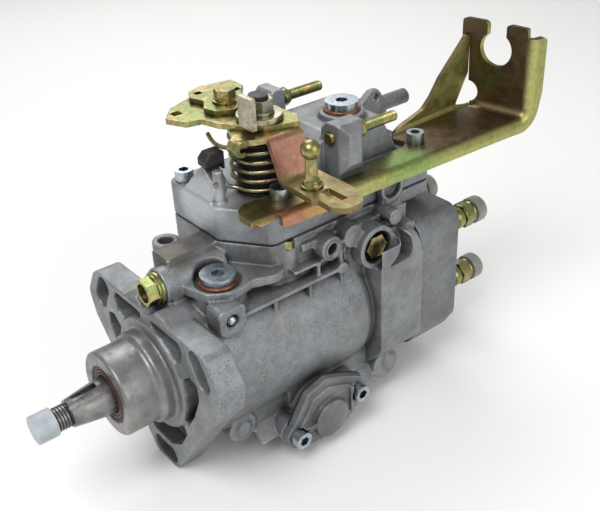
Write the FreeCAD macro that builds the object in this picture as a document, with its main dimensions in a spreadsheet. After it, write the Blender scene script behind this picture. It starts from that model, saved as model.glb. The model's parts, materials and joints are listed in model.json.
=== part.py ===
"""Distributor-type diesel injection pump with a mechanical governor.

The frame is millimetres. The drive shaft lies along X and its drive end points to -X. Z is up.
The origin is the centre of the flange's mounting face, on the shaft's axis.
"""
import FreeCAD, Part
import math
import os
import re

import Sketcher

Vector = FreeCAD.Vector
doc = FreeCAD.newDocument("injection_pump")
sheet = doc.addObject("Spreadsheet::Sheet", "Sizes")

SIZES = {
    # drive shaft
    "shaft_r": 10.0, "shaft_taper_end_r": 7.3, "shaft_thread_r": 6.0, "shaft_taper_start": -30.0,
    "shaft_taper_end": -48.0, "shaft_tip": -65.0, "keyway_wide": 4.0, "keyway_deep": 2.2,
    "thread_cap_r": 7.5, "thread_cap_long": 10.0, "running_gap": 0.05, "face_gap": 0.3,
    # nose of the housing
    "hub_front": -27.0, "hub_r": 23.0, "pilot_start": -8.0, "pilot_r": 25.0, "groove_start": -4.4,
    "groove_end": -3.6, "groove_r": 24.2, "seal_r": 15.5, "seal_thick": 7.0, "bush_r": 13.0,
    "bush_start": -18.0, "bush_end": 20.0, "nose_bore_r": 14.0,
    # flange
    "flange_thick": 15.0, "lug_top_z": 38.0, "lug_top_y": 53.0, "lug_tip_y": 63.5, "lug_tip_z": 21.0,
    "lug_low_y": 60.0, "lug_low_z": 6.0, "waist_y": 49.0, "waist_z": -7.0, "foot_waist_y": 24.0,
    "foot_waist_z": -42.0, "foot_y": 11.0, "foot_z": -61.0, "flange_round": 7.0,
    "slot_radius": 54.0, "slot_wide": 11.0, "slot_sweep": 12.0, "boss_ring_r": 31.0,
    "boss_ring_high": 1.5, "pocket_deep": 10.0, "pocket_round": 1.0,
    # barrel and rear block of the housing
    "barrel_r": 43.0, "barrel_end": 118.0, "cavity_r": 29.0, "gear_room_r": 32.5,
    "gear_room_start": 59.5, "gear_room_end": 66.3, "block_start": 118.0, "block_half": 44.0,
    "block_low": -43.0, "block_high": 48.0, "block_round": 10.0, "seam_x": 150.0,
    "cavity_start": 21.0, "cheek_start": 120.5, "cheek_low": -24.0, "cheek_high": 30.5,
    "base_low": -45.0, "base_half": 33.0, "base_start": 36.0,
    # governor box of the housing
    "box_front": 45.0, "box_near": -27.0, "box_far": 42.0, "box_rear": 176.0, "seam_z": 61.0,
    "box_wall": 5.0, "chamfer_x": 62.0, "chamfer_y": -3.0, "deck_under": 53.0, "box_round": 6.0,
    "side_wall_y": -33.0, "side_start": 103.0, "side_low": 12.0, "side_high": 57.0,
    # ribs on the near side
    "long_rib_z": 35.5, "long_rib_y": -36.0, "mid_rib_z": 43.7, "mid_rib_y": -33.5,
    "rib_thick": 2.2, "column_r": 7.5, "column_low": 33.0, "spacer_flats": 13.0,
    "spacer_low": 56.0,
    # side bosses that face the near side
    "well_x": 120.0, "well_z": 44.0, "well_r": 12.5, "well_in_r": 9.5, "well_face": -42.5,
    "port_x": 92.5, "port_z": 52.0, "port_r": 6.8, "port_in_r": 3.4, "port_face": -37.0,
    "blank_x": 107.0, "blank_z": 54.0, "blank_r": 6.5, "blank_face": -37.5,
    "dot_x": 134.0, "dot_z": 57.0, "dot_r": 4.6, "dot_face": -41.5,
    "mark_x": 100.0, "mark_z": 37.0, "mark_r": 3.4, "mark_face": -37.0,
    "vent_x": 140.0, "vent_z": 69.2, "vent_r": 8.3, "vent_in_r": 6.0, "vent_face": -32.6,
    "foot_boss_x": 128.6, "foot_boss_z": -41.0, "foot_boss_r": 9.5, "foot_boss_face": -39.5,
    "lobe_x": 29.3, "lobe_z": -33.5, "lobe_r": 8.5, "lobe_face": -34.5,
    # inlet boss, its table, the ball lug and the governor beam
    "inlet_x": 34.0, "inlet_y": -17.0, "inlet_face_z": 48.5, "inlet_boss_r": 13.5,
    "table_z": 49.7, "inlet_recess_r": 12.0, "ball_lug_x": 27.4, "ball_lug_z": 38.2,
    "ball_lug_r": 7.8, "ball_lug_face": -38.0, "lug_ball_r": 3.1,
    "beam_front": 16.0, "beam_near": -1.0, "beam_far": 14.0, "beam_top": 60.5,
    "governor_z": 48.0, "governor_shaft_r": 5.0, "governor_boss_r": 10.0,
    "governor_boss_face": 9.5, "lock_nut_flats": 13.0, "lock_nut_high": 5.5,
    "lock_washer_thick": 3.0, "governor_shaft_end": 92.0,
    "clip_ear_x": 30.0, "clip_ear_y": 24.0, "clip_ear_r": 7.2, "clip_hole_r": 4.0,
    # hydraulic head: the valve places count from its rear face
    "head_end": 183.0, "plunger_r": 6.0, "barrel_sleeve_r": 11.0,
    "valve_side": 21.0, "valve_r": 6.5, "valve_hex": 14.0, "valve_reach": 22.0,
    "valve_hex_long": 8.0, "valve_tip_long": 9.0, "valve_tip_r": 5.0, "valve_cap_r": 8.3,
    "valve_cap_gap": 1.5, "valve_cap_long": 12.5, "head_plug_r": 11.0,
    # timing device
    "timer_x": 75.0, "timer_z": -41.5, "timer_bore_r": 11.0, "timer_body_r": 16.0,
    "timer_face": 44.0, "timer_plate_thick": 5.0, "timer_cap_r": 11.3, "timer_cap_face": 54.0,
    "timer_screw_x": 21.2, "timer_screw_z": 4.2, "timer_ear_r": 7.0, "timer_piston_half": 17.0,
    "timer_rest": -5.0,
    # roller ring, cam disc and plunger
    "ring_start": 67.0, "ring_thick": 14.0, "ring_r": 28.0, "ring_in_r": 13.0,
    "roller_r": 5.0, "roller_long": 9.0, "roller_middle": 21.0, "cam_start": 88.8, "cam_thick": 9.0,
    "cam_lift": 2.5, "cam_r": 27.0, "spool_middle": 122.0, "spool_half": 4.5, "spool_r": 11.5,
    # drive gear pair: number of teeth times the module is the pitch diameter
    "gear_start": 60.3, "gear_thick": 5.0, "gear_module": 1.6, "drive_teeth": 37.0,
    "governor_teeth": 23.0, "tooth_share": 0.42,
    # vane pump
    "vane_start": 24.0, "vane_wide": 12.0, "vane_ring_r": 28.7, "vane_bore_r": 21.0,
    "vane_offset": 1.5, "vane_rotor_r": 19.0, "vane_thick": 3.0, "vane_plate_thick": 4.0,
    # governor weights, sleeve and levers
    "carrier_r": 17.0, "carrier_floor": 3.0, "carrier_long": 14.0, "weight_long": 10.5,
    "weight_wide": 11.0, "weight_high": 7.5, "weight_swing": 3.4, "sleeve_r": 8.5, "sleeve_start": 82.0,
    "sleeve_long": 10.0, "sleeve_tip": 96.0, "pivot_x": 112.0, "pivot_z": 28.0, "lever_thick": 3.0,
    # governor cover
    "gasket_thick": 1.0, "cover_top": 80.5, "cover_ceiling": 75.5, "screw_inset": 7.0,
    "screw_reach": 6.0, "plug_boss_x": 130.0, "plug_boss_y": -3.0, "plug_boss_top": 109.0,
    "plug_boss_r": 12.5,
    # throttle shaft and its levers
    "throttle_x": 79.0, "throttle_y": 1.0, "throttle_r": 5.0, "throttle_top": 130.0,
    "lever_z": 111.5, "plate_thick": 3.0, "arm_drop": 19.0, "arm_end": 70.0, "ball_reach": 42.0,
    "ball_r": 5.0, "ball_z": 114.5, "spring_r": 16.5, "spring_wire_r": 1.1, "spring_low": 84.5,
    "spring_pitch": 5.2, "spring_turns": 5.0, "guide_r": 13.5, "guide_flange_r": 15.0,
    # stop screws
    "near_stop_x": 123.0, "near_stop_y": -21.5, "near_stop_z": 105.0,
    "far_stop_x": 117.0, "far_stop_y": 33.0, "far_stop_z": 109.0, "stop_screw_r": 2.7,
    "stop_nut_flats": 8.0,
    # cable bracket
    "bracket_thick": 3.0, "bracket_front": 47.0, "bracket_near": -33.0, "bracket_far": -1.7,
    "bracket_rear": 232.5, "bracket_near_rear": -39.5, "bracket_skew": 7.0, "lip_drop": 4.5,
    "bend_r": 4.0, "upright_high": 136.0, "rim_wide": 11.5, "gusset_start": 166.0,
    "keyhole_r": 10.0, "keyhole_y": -18.7, "keyhole_z": 120.5, "keyhole_neck": 12.0,
    # fasteners and plugs
    "screw_r": 3.0, "screw_head_r": 5.0, "screw_head_high": 6.0, "plug_head_r": 9.1,
    "plug_head_high": 3.8, "washer_thick": 1.5, "plug_thread_r": 6.0,
}

for row, (name, size) in enumerate(SIZES.items(), start=1):
    sheet.set(f"A{row}", name)
    sheet.set(f"B{row}", str(size))
    sheet.setAlias(f"B{row}", name)
doc.recompute()

ALONG = {
    "X": FreeCAD.Rotation(Vector(0, 1, 0), 90),
    "-X": FreeCAD.Rotation(Vector(0, 1, 0), -90),
    "Y": FreeCAD.Rotation(Vector(1, 0, 0), -90),
    "-Y": FreeCAD.Rotation(Vector(1, 0, 0), 90),
    "Z": FreeCAD.Rotation(),
    "-Z": FreeCAD.Rotation(Vector(1, 0, 0), 180),
}
counter = {}


def tidy_name(stem):
    """A document name that no other object has."""
    counter[stem] = counter.get(stem, 0) + 1
    return f"{stem}_{counter[stem]}"


def expression(text):
    """The text with each size's name turned into a reference to its cell."""
    return re.sub(r"[a-z_]{3,}", lambda found: "Sizes." + found.group(0), str(text))


def amount(text):
    """The number that a plain sum of names, numbers, products and quotients stands for."""
    total, term, sign, divide = 0.0, None, 1.0, False
    for word in str(text).split():
        if word in "+-":
            total += sign * (term or 0.0)
            term, sign = None, -1.0 if word == "-" else 1.0
        elif word in "*/":
            divide = word == "/"
        else:
            flip = -1.0 if word.startswith("-") else 1.0
            bare = word.lstrip("-")
            factor = flip * (sheet.get(bare) if bare in SIZES else float(bare))
            if term is None:
                term = factor
            else:
                term = term / factor if divide else term * factor
    return total + sign * term


def bind(thing, **properties):
    """Each property of the object follows the sheet."""
    for name, text in properties.items():
        thing.setExpression(name.replace("__", "."), expression(text))


def put(thing, x, y, z, along="Z", turn=None):
    """The object stands at a bound place, with its own Z along an axis of the frame."""
    rotation = ALONG[along] if turn is None else turn
    thing.Placement = FreeCAD.Placement(Vector(amount(x), amount(y), amount(z)), rotation)
    bind(thing, Placement__Base__x=x, Placement__Base__y=y, Placement__Base__z=z)
    return thing


def rod(along, radius, length, x=0, y=0, z=0, sweep=None):
    thing = doc.addObject("Part::Cylinder", tidy_name("rod"))
    bind(thing, Radius=radius, Height=length)
    if sweep is not None:
        bind(thing, Angle=sweep)
    return put(thing, x, y, z, along)


def cone(along, radius, end_radius, length, x=0, y=0, z=0):
    thing = doc.addObject("Part::Cone", tidy_name("cone"))
    bind(thing, Radius1=radius, Radius2=end_radius, Height=length)
    return put(thing, x, y, z, along)


def block(x_low, x_high, y_low, y_high, z_low, z_high):
    thing = doc.addObject("Part::Box", tidy_name("block"))
    bind(thing, Length=f"{x_high} - ({x_low})", Width=f"{y_high} - ({y_low})",
         Height=f"{z_high} - ({z_low})")
    return put(thing, x_low, y_low, z_low)


def hexagon(along, flats, length, x=0, y=0, z=0, twist=0):
    thing = doc.addObject("Part::Prism", tidy_name("hexagon"))
    thing.Polygon = 6
    bind(thing, Circumradius=f"{flats} / 1.7320508", Height=length)
    turn = ALONG[along].multiply(FreeCAD.Rotation(Vector(0, 0, 1), twist))
    return put(thing, x, y, z, turn=turn)


def ball(radius, x, y, z):
    thing = doc.addObject("Part::Sphere", tidy_name("ball"))
    bind(thing, Radius=radius)
    return put(thing, x, y, z)


def fuse(*things, label=None):
    thing = doc.addObject("Part::MultiFuse", tidy_name("fuse"))
    thing.Shapes = list(things)
    thing.Refine = True
    return named(thing, label)


def cut(base, *tools, label=None):
    thing = doc.addObject("Part::Cut", tidy_name("cut"))
    thing.Base = base
    thing.Tool = tools[0] if len(tools) == 1 else fuse(*tools)
    thing.Refine = True
    return named(thing, label)


def common(*things):
    thing = doc.addObject("Part::MultiCommon", tidy_name("common"))
    thing.Shapes = list(things)
    return thing


def group(label, *things):
    thing = doc.addObject("Part::Compound", tidy_name("group"))
    thing.Links = list(things)
    return named(thing, label)


def named(thing, label):
    if label:
        thing.Label = label
        nodes.append(thing)
    return thing


def plane_of(body, role):
    return [item for item in body.Origin.OriginFeatures if item.Role == role][0]


def outline(body, role, offset, points):
    """A closed sketch on an origin plane, each corner bound to the sheet."""
    sketch = body.newObject("Sketcher::SketchObject", tidy_name("sketch"))
    sketch.AttachmentSupport = (plane_of(body, role), "")
    sketch.MapMode = "FlatFace"
    sketch.AttachmentOffset = FreeCAD.Placement(Vector(0, 0, amount(offset)), FreeCAD.Rotation())
    sketch.setExpression("AttachmentOffset.Base.z", expression(offset))
    corners = [Vector(amount(across), amount(up), 0) for across, up in points]
    count = len(corners)
    for index in range(count):
        sketch.addGeometry(Part.LineSegment(corners[index], corners[(index + 1) % count]), False)
    for index in range(count):
        sketch.addConstraint(Sketcher.Constraint("Coincident", index, 2, (index + 1) % count, 1))
    for index, (across, up) in enumerate(points):
        spot = sketch.addConstraint(
            Sketcher.Constraint("DistanceX", -1, 1, index, 1, corners[index].x))
        sketch.setExpression(f"Constraints[{spot}]", expression(across))
        spot = sketch.addConstraint(
            Sketcher.Constraint("DistanceY", -1, 1, index, 1, corners[index].y))
        sketch.setExpression(f"Constraints[{spot}]", expression(up))
    return sketch


def turned(points, along="X", x=0, y=0, z=0, label=None):
    """A body revolved about its own X axis from points of (place along the axis, radius)."""
    body = doc.addObject("PartDesign::Body", tidy_name("turned"))
    sketch = outline(body, "XZ_Plane", "0", points)
    spin = body.newObject("PartDesign::Revolution", tidy_name("revolution"))
    spin.Profile = sketch
    spin.ReferenceAxis = (sketch, ["H_Axis"])
    spin.Angle = 360
    turns = {"X": FreeCAD.Rotation(), "Y": FreeCAD.Rotation(Vector(0, 0, 1), 90),
             "-Y": FreeCAD.Rotation(Vector(0, 0, 1), -90), "Z": FreeCAD.Rotation(Vector(0, 1, 0), -90)}
    put(body, x, y, z, turn=turns[along])
    return named(body, label)


def padded(role, offset, length, points, rounding=None, label=None):
    """A body padded from an outline, with the edges along the pad rounded."""
    body = doc.addObject("PartDesign::Body", tidy_name("padded"))
    sketch = outline(body, role, offset, points)
    pad = body.newObject("PartDesign::Pad", tidy_name("pad"))
    pad.Profile = sketch
    bind(pad, Length=length)
    doc.recompute()
    if rounding:
        normal = {"XY_Plane": Vector(0, 0, 1), "XZ_Plane": Vector(0, 1, 0), "YZ_Plane": Vector(1, 0, 0)}
        along = [f"Edge{index}" for index, edge in enumerate(pad.Shape.Edges, start=1)
                 if abs((edge.Vertexes[0].Point - edge.Vertexes[-1].Point).normalize()
                        * normal[role]) > 0.99]
        round_off = body.newObject("PartDesign::Fillet", tidy_name("fillet"))
        round_off.Base = (pad, along)
        bind(round_off, Radius=rounding)
    return named(body, label)


def faceted(corners):
    """A solid with flat facets between a front and a back ring of four corners."""
    spots = [Vector(*(amount(value) for value in corner)) for corner in corners]
    rings = ((0, 1, 2), (0, 2, 3), (6, 5, 4), (7, 6, 4))
    sides = [triple for near, after in ((0, 1), (1, 2), (2, 3), (3, 0))
             for triple in ((near, near + 4, after + 4), (near, after + 4, after))]
    faces = []
    for triple in (*rings, *sides):
        ring = [spots[index] for index in triple]
        faces.append(Part.Face(Part.makePolygon(ring + ring[:1])))
    thing = doc.addObject("Part::Feature", tidy_name("facets"))
    thing.Shape = Part.Solid(Part.Shell(faces))
    return thing


def solid_node(label, shape):
    """A sub-part whose shape is worked out here from the sheet's sizes."""
    thing = doc.addObject("Part::Feature", tidy_name("solid"))
    thing.Shape = shape
    return named(thing, label)


def socket_screw(x, y, under_z, length):
    """A cap screw that points down, with its hexagon socket."""
    head = rod("Z", "screw_head_r", "screw_head_high", x, y, under_z)
    shank = rod("-Z", "screw_r", length, x, y, under_z)
    socket = hexagon("Z", 5, "screw_head_high / 2 + 1", x, y, f"{under_z} + screw_head_high / 2")
    return cut(fuse(head, shank), socket)


nodes = []


def mirrored_outline(half):
    """An outline that is the same on both sides of the sketch's upright axis."""
    other = [(f"-{across}", up) for across, up in reversed(half)]
    return half + other


def ring_sector(inner, outer, along_x, length, start_angle, sweep):
    """A piece of a ring about the shaft's axis, from one angle in the YZ plane, over a sweep."""
    turn = FreeCAD.Rotation(Vector(1, 0, 0), start_angle).multiply(
        FreeCAD.Rotation(Vector(1, 0, 0), 90).multiply(FreeCAD.Rotation(Vector(0, 1, 0), 90)))
    pieces = []
    for radius in (outer, inner):
        piece = rod("X", radius, length, sweep=sweep)
        pieces.append(put(piece, along_x, 0, 0, turn=turn))
    return cut(pieces[0], pieces[1])


def arc_slot(angle):
    """A slot with round ends, bent about the shaft's axis, right through the flange."""
    sweep = amount("slot_sweep")
    body = ring_sector("slot_radius - slot_wide / 2", "slot_radius + slot_wide / 2",
                       "-1 * boss_ring_high", "flange_thick + boss_ring_high * 2",
                       angle - sweep / 2, "slot_sweep")
    ends = []
    for side in (-0.5, 0.5):
        turn = math.radians(angle + side * sweep)
        ends.append(rod("X", "slot_wide / 2", "flange_thick + boss_ring_high * 2",
                        "-1 * boss_ring_high", f"slot_radius * {math.cos(turn):.6f}",
                        f"slot_radius * {math.sin(turn):.6f}"))
    return fuse(body, *ends)


def gear_profile(teeth_name, start_angle):
    """The outline of a spur gear about the X axis, with a tooth in the middle at the angle."""
    module = amount("gear_module")
    teeth = int(amount(teeth_name))
    pitch = module * teeth / 2
    share = amount("tooth_share")
    radii = (pitch - 1.1 * module, pitch, pitch + 0.8 * module)
    half_angles = [share * math.pi / teeth + lean * module * math.tan(math.radians(20)) / pitch
                   for lean in (1.1, 0.0, -0.8)]
    points = []
    for tooth in range(teeth):
        middle = math.radians(start_angle) + tooth * 2 * math.pi / teeth
        for radius, half in zip(radii, half_angles):
            points.append((radius, middle - half))
        for radius, half in reversed(list(zip(radii, half_angles))):
            points.append((radius, middle + half))
    corners = [Vector(0, radius * math.cos(angle), radius * math.sin(angle))
               for radius, angle in points]
    return Part.Face(Part.makePolygon(corners + corners[:1]))


def coil(radius, wire, pitch, turns, corners=14, sides=6):
    """A coil spring about Z that starts at the origin's height on the +X side.

    Its wire is a loft through many-sided sections that stand along the helix.
    """
    climb = math.atan2(pitch, 2 * math.pi * radius)
    sections = []
    for step in range(int(turns * corners) + 1):
        angle = 2 * math.pi * step / corners
        out = Vector(math.cos(angle), math.sin(angle), 0)
        along = Vector(-math.sin(angle) * math.cos(climb), math.cos(angle) * math.cos(climb),
                       math.sin(climb))
        side = along.cross(out)
        middle = out * radius + Vector(0, 0, pitch * step / corners)
        ring = [middle + (out * math.cos(turn) + side * math.sin(turn)) * wire
                for turn in (2 * math.pi * index / sides for index in range(sides))]
        sections.append(Part.makePolygon(ring + ring[:1]))
    return Part.makeLoft(sections, True, True)


def room(role_offset, length):
    """The space inside the governor box, which follows its walls."""
    return padded("XY_Plane", role_offset, length, [
        ("box_front + box_wall", "box_far - box_wall"), ("box_front + box_wall", "chamfer_y - 2.7"),
        ("chamfer_x - 0.5", "box_near + box_wall"), ("seam_x - 4", "box_near + box_wall"),
        ("seam_x - 4", "box_far - box_wall")])


def flange_pockets():
    """The hollows in the flange's front, the same on both sides of the shaft."""
    upper = [("-5", "35"), ("-5", "31.3"), ("-13.5", "28.7"), ("-20.5", "24.2"), ("-25", "19.7"),
             ("-30.5", "22.5"), ("-32.5", "31"), ("-30", "35")]
    lower = [("-29.5", "12"), ("-36.5", "18"), ("-43", "16"), ("-43.3", "8"), ("-36.5", "-7"),
             ("-29", "-18"), ("-27", "-16.5"), ("-31", "-6"), ("-31.5", "3")]
    outer = [("24.5", "-20.5"), ("26", "-26"), ("18", "-38.5"), ("8", "-44.5")]
    inner = [("9", "-30.8"), ("18", "-26.3")]
    pockets = []
    for points in (upper, lower):
        pockets.append(padded("YZ_Plane", "0", "pocket_deep", points, "pocket_round"))
        other = [(across.lstrip("-"), up) for across, up in reversed(points)]
        pockets.append(padded("YZ_Plane", "0", "pocket_deep", other, "pocket_round"))
    low = outer + [(f"-{across}", up) for across, up in reversed(outer)]
    low += [(f"-{across}", up) for across, up in reversed(inner)] + [("0", "-32")] + inner
    pockets.append(padded("YZ_Plane", "0", "pocket_deep", low, "pocket_round"))
    return pockets


def near_side():
    """The ribs, bosses, table and column on the near side of the housing."""
    pieces = [
        block("36", "side_start + 2", "long_rib_y", "-20", "long_rib_z", "long_rib_z + rib_thick"),
        block("chamfer_x + 8", "side_start + 2", "mid_rib_y", "-22", "mid_rib_z",
              "mid_rib_z + rib_thick - 0.4"),
        block("chamfer_x + 16", "side_start + 2", "box_near - 3", "-22", "52.5", "seam_z - 4")]
    for x, low, high, near in (("56", "28", "36", "-33"), ("77.5", "28", "36", "-35"),
                               ("84.5", "34", "45", "-34"), ("99", "28", "52", "-35")):
        pieces.append(block(f"{x}", f"{x} + rib_thick", near, "-18", low, high))
    for stem in ("well", "port", "blank", "dot", "mark"):
        pieces.append(rod("Y", f"{stem}_r", f"-1 * {stem}_face + side_wall_y + 8",
                          f"{stem}_x", f"{stem}_face", f"{stem}_z"))
    pieces.append(padded("XZ_Plane", "-1 * side_wall_y", "8", [
        ("well_x + 12", "28"), ("seam_x", "28"), ("seam_x", "46"), ("seam_x - 3", "49"),
        ("seam_x - 8", "49"), ("well_x + 12", "38")], "1.5"))
    pieces.append(rod("Y", "vent_r", "box_near - vent_face", "vent_x", "vent_face", "vent_z"))
    pieces.append(block("vent_x - vent_r + 1", "vent_x + vent_r - 1", "vent_face + 1",
                        "box_near + 1", "side_high - 2", "vent_z"))
    pieces.append(rod("Z", "column_r", "spacer_low - column_low", "chamfer_x + 10.5",
                      "box_near + screw_inset - 0.8", "column_low"))
    pieces.append(padded("XY_Plane", "table_z - 5", "5", [
        ("beam_front + 3", "2"), ("beam_front + 2", "-12"), ("beam_front + 6", "-25"),
        ("inlet_x - 3", "-31"), ("inlet_x + 4", "-31"), ("inlet_x + 12", "-29"),
        ("58", "-33.5"), ("64", "-32"), ("chamfer_x + 5", "-22"), ("chamfer_x + 3", "2")], "2"))
    pieces.append(rod("Z", "inlet_boss_r", "table_z - 8", "inlet_x", "inlet_y", "8"))
    pieces.append(padded("XZ_Plane", "-1 * ball_lug_face - 12", "12", [
        ("ball_lug_x - ball_lug_r", "table_z - 4"), ("ball_lug_x - ball_lug_r", "ball_lug_z - 5"),
        ("ball_lug_x - 4", "ball_lug_z - ball_lug_r"), ("ball_lug_x + 4", "ball_lug_z - ball_lug_r"),
        ("ball_lug_x + ball_lug_r", "ball_lug_z - 4"),
        ("ball_lug_x + ball_lug_r", "table_z - 4")], "2.5"))
    return pieces


def lower_side():
    """The base under the barrel with the bore for the timing device and the feet."""
    pieces = [
        padded("YZ_Plane", "base_start", "block_start + 1 - base_start", mirrored_outline([
            ("base_half", "-20"), ("base_half", "base_low + 7"), ("base_half - 9", "base_low")])),
        rod("Y", "timer_body_r", "timer_face * 2", "timer_x", "-1 * timer_face", "timer_z"),
        block("timer_x - timer_body_r", "timer_x + timer_body_r", "-1 * timer_face + 8",
              "timer_face - 8", "timer_z", "-20"),
        rod("Y", "foot_boss_r", "26", "foot_boss_x", "foot_boss_face", "foot_boss_z"),
        rod("Y", "5", "20", "foot_boss_x + 3", "foot_boss_face - 1.5", "foot_boss_z + 1"),
        rod("Y", "foot_boss_r - 1", "10", "foot_boss_x", "12", "foot_boss_z"),
        rod("Y", "lobe_r", "20", "lobe_x", "lobe_face", "lobe_z"),
        rod("Y", "lobe_r / 2", "20", "lobe_x", "lobe_face - 1.5", "lobe_z")]
    for side in (-1, 1):
        inward = "Y" if side < 0 else "-Y"
        for swap in (1, -1):
            pieces.append(rod(inward, "timer_ear_r", "14", f"timer_x + timer_screw_x * {swap}",
                              f"timer_face * {side}", f"timer_z + timer_screw_z * {swap} + 1.2"))
    return pieces


def make_housing():
    nose = turned([("hub_front", "0"), ("hub_front", "hub_r - 1"), ("hub_front + 1", "hub_r"),
                   ("pilot_start - 1", "hub_r"), ("pilot_start", "pilot_r"),
                   ("groove_start", "pilot_r"), ("groove_start", "groove_r"),
                   ("groove_end", "groove_r"), ("groove_end", "pilot_r"), ("0", "pilot_r"),
                   ("0", "0")])
    flange = padded("YZ_Plane", "0", "flange_thick", mirrored_outline([
        ("lug_top_y", "lug_top_z"), ("lug_tip_y", "lug_tip_z"), ("lug_low_y", "lug_low_z"),
        ("waist_y", "waist_z"), ("foot_waist_y", "foot_waist_z"), ("foot_y", "foot_z")]),
        "flange_round")
    slots = [arc_slot(angle) for angle in (30, 150, 270)]
    barrel = turned([("1", "0"), ("1", "barrel_r"), ("barrel_end - 6", "barrel_r"),
                     ("barrel_end - 2", "barrel_r - 1.5"), ("barrel_end", "barrel_r - 5"),
                     ("block_start + 2", "barrel_r - 5"), ("block_start + 2", "0")])
    rear = padded("YZ_Plane", "block_start", "seam_x - block_start", mirrored_outline([
        ("block_half - 3", "block_high"), ("block_half - 3", "cheek_low"), ("31", "-40"),
        ("22", "block_low")]), "block_round / 2")
    box = padded("XY_Plane", "0", "seam_z", [
        ("box_front", "box_far"), ("box_front", "chamfer_y"), ("chamfer_x", "box_near"),
        ("seam_x", "box_near"), ("seam_x", "box_far")], "box_round")
    deck = padded("XY_Plane", "deck_under", "seam_z - deck_under", [
        ("seam_x - 20", "box_far"), ("seam_x - 20", "box_near"), ("box_rear", "box_near"),
        ("box_rear", "box_far")], "box_round")
    side = padded("XY_Plane", "side_low", "side_high - side_low", [
        ("side_start", "box_near + 4"), ("side_start", "side_wall_y"), ("seam_x", "side_wall_y"),
        ("seam_x", "box_near + 4")])
    cheek = padded("XY_Plane", "cheek_low", "cheek_high - cheek_low", [
        ("cheek_start", "0"), ("cheek_start", "-1 * block_half"), ("seam_x", "-1 * block_half"),
        ("seam_x", "0")])
    governor = rod("X", "governor_boss_r", "box_front - governor_boss_face + 1",
                   "governor_boss_face", "0", "governor_z")
    governor_web = block("governor_boss_face + 3", "box_front + 2", "-1 * governor_boss_r",
                         "governor_boss_r", "20", "governor_z")
    beam = block("beam_front", "box_front + 3", "beam_near", "beam_far", "20", "beam_top")
    shoulder = block("beam_front + 5", "box_front + 2", "beam_far - 2", "clip_ear_y", "20",
                     "beam_top - 10")
    clip_ear = rod("Z", "clip_ear_r", "21", "clip_ear_x", "clip_ear_y", "36")
    cast = fuse(nose, flange, barrel, rear, box, deck, side, cheek, governor, governor_web, beam,
                shoulder, clip_ear, *near_side(), *lower_side(),
                rod("X", "boss_ring_r", "boss_ring_high + 2", "-1 * boss_ring_high"))
    screws = cover_screw_places()
    bores = [
        rod("X", "nose_bore_r", "cavity_start - hub_front + 2", "hub_front - 1"),
        rod("X", "seal_r", "seal_thick + 1", "hub_front - 1"),
        rod("X", "cavity_r", "seam_x - cavity_start + 1", "cavity_start"),
        rod("X", "gear_room_r", "gear_room_end - gear_room_start", "gear_room_start"),
        room("24", "seam_z - 20"),
        rod("Y", "timer_bore_r", "timer_face * 2 + 2", "timer_x", "-1 * timer_face - 1", "timer_z"),
        block("timer_x - 6", "timer_x + 6", "-16", "16", "timer_z", "-20"),
        rod("X", "governor_shaft_r", "box_front + 12", "-2", "0", "governor_z"),
        rod("-X", "lock_nut_flats / 2 + 4.5", "14", "governor_boss_face", "0", "governor_z"),
        rod("-Z", "plug_thread_r", "22", "inlet_x", "inlet_y", "inlet_face_z + 1"),
        rod("Y", "well_in_r", "8", "well_x", "well_face - 1", "well_z"),
        rod("Y", "screw_r", "90", "well_x", "well_face - 1", "well_z"),
        rod("Y", "port_in_r", "12", "port_x", "port_face - 1", "port_z"),
        rod("Y", "vent_in_r", "5", "vent_x", "vent_face - 1", "vent_z"),
        rod("Z", "inlet_recess_r", "30", "inlet_x", "inlet_y", "inlet_face_z"),
        rod("Y", "lug_ball_r", "7", "ball_lug_x", "ball_lug_face - 1", "ball_lug_z"),
        cone("Y", "lug_ball_r + 1", "lug_ball_r - 0.1", "2", "ball_lug_x", "ball_lug_face - 0.1",
             "ball_lug_z"),
        rod("Z", "clip_hole_r", "22", "clip_ear_x", "clip_ear_y", "40"),
        hexagon("Z", "spacer_flats", "20", screws[1][0], screws[1][1], "spacer_low", twist=30),
        block("vent_x - 20", "vent_x + 20", "box_near - face_gap", "0", "seam_z", "seam_z + 30"),
        *[block("timer_x - 40", "timer_x + 40", near, far, "timer_z - 40", "timer_z + 30")
          for near, far in (("-1 * timer_face - 30", "-1 * timer_face"),
                            ("timer_face", "timer_face + 30"))],
        *[rod("-Z", "screw_r", "screw_reach + 2", x, y, "seam_z + 1") for x, y, lift in screws],
    ]
    cut(cast, *slots, *flange_pockets(), *bores, label="pump_housing")
    cut(hexagon("Z", "spacer_flats", "seam_z - spacer_low", screws[1][0], screws[1][1],
                "spacer_low", twist=30),
        rod("Z", "screw_r", "12", screws[1][0], screws[1][1], "spacer_low - 2"),
        rod("X", "carrier_r + weight_swing", "40", "box_front + 5", "0", "governor_z"),
        label="hex_spacer")


def make_nose():
    turned([("hub_front + 1", "shaft_r + running_gap"), ("hub_front + 1", "seal_r"),
            ("hub_front + seal_thick", "seal_r"), ("hub_front + seal_thick", "shaft_r + 1.5"),
            ("hub_front + 3", "shaft_r + running_gap")], label="shaft_seal")
    turned([("bush_start", "shaft_r + running_gap"), ("bush_start", "nose_bore_r"),
            ("bush_end", "nose_bore_r"), ("bush_end", "shaft_r + running_gap")], label="shaft_bush")


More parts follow.
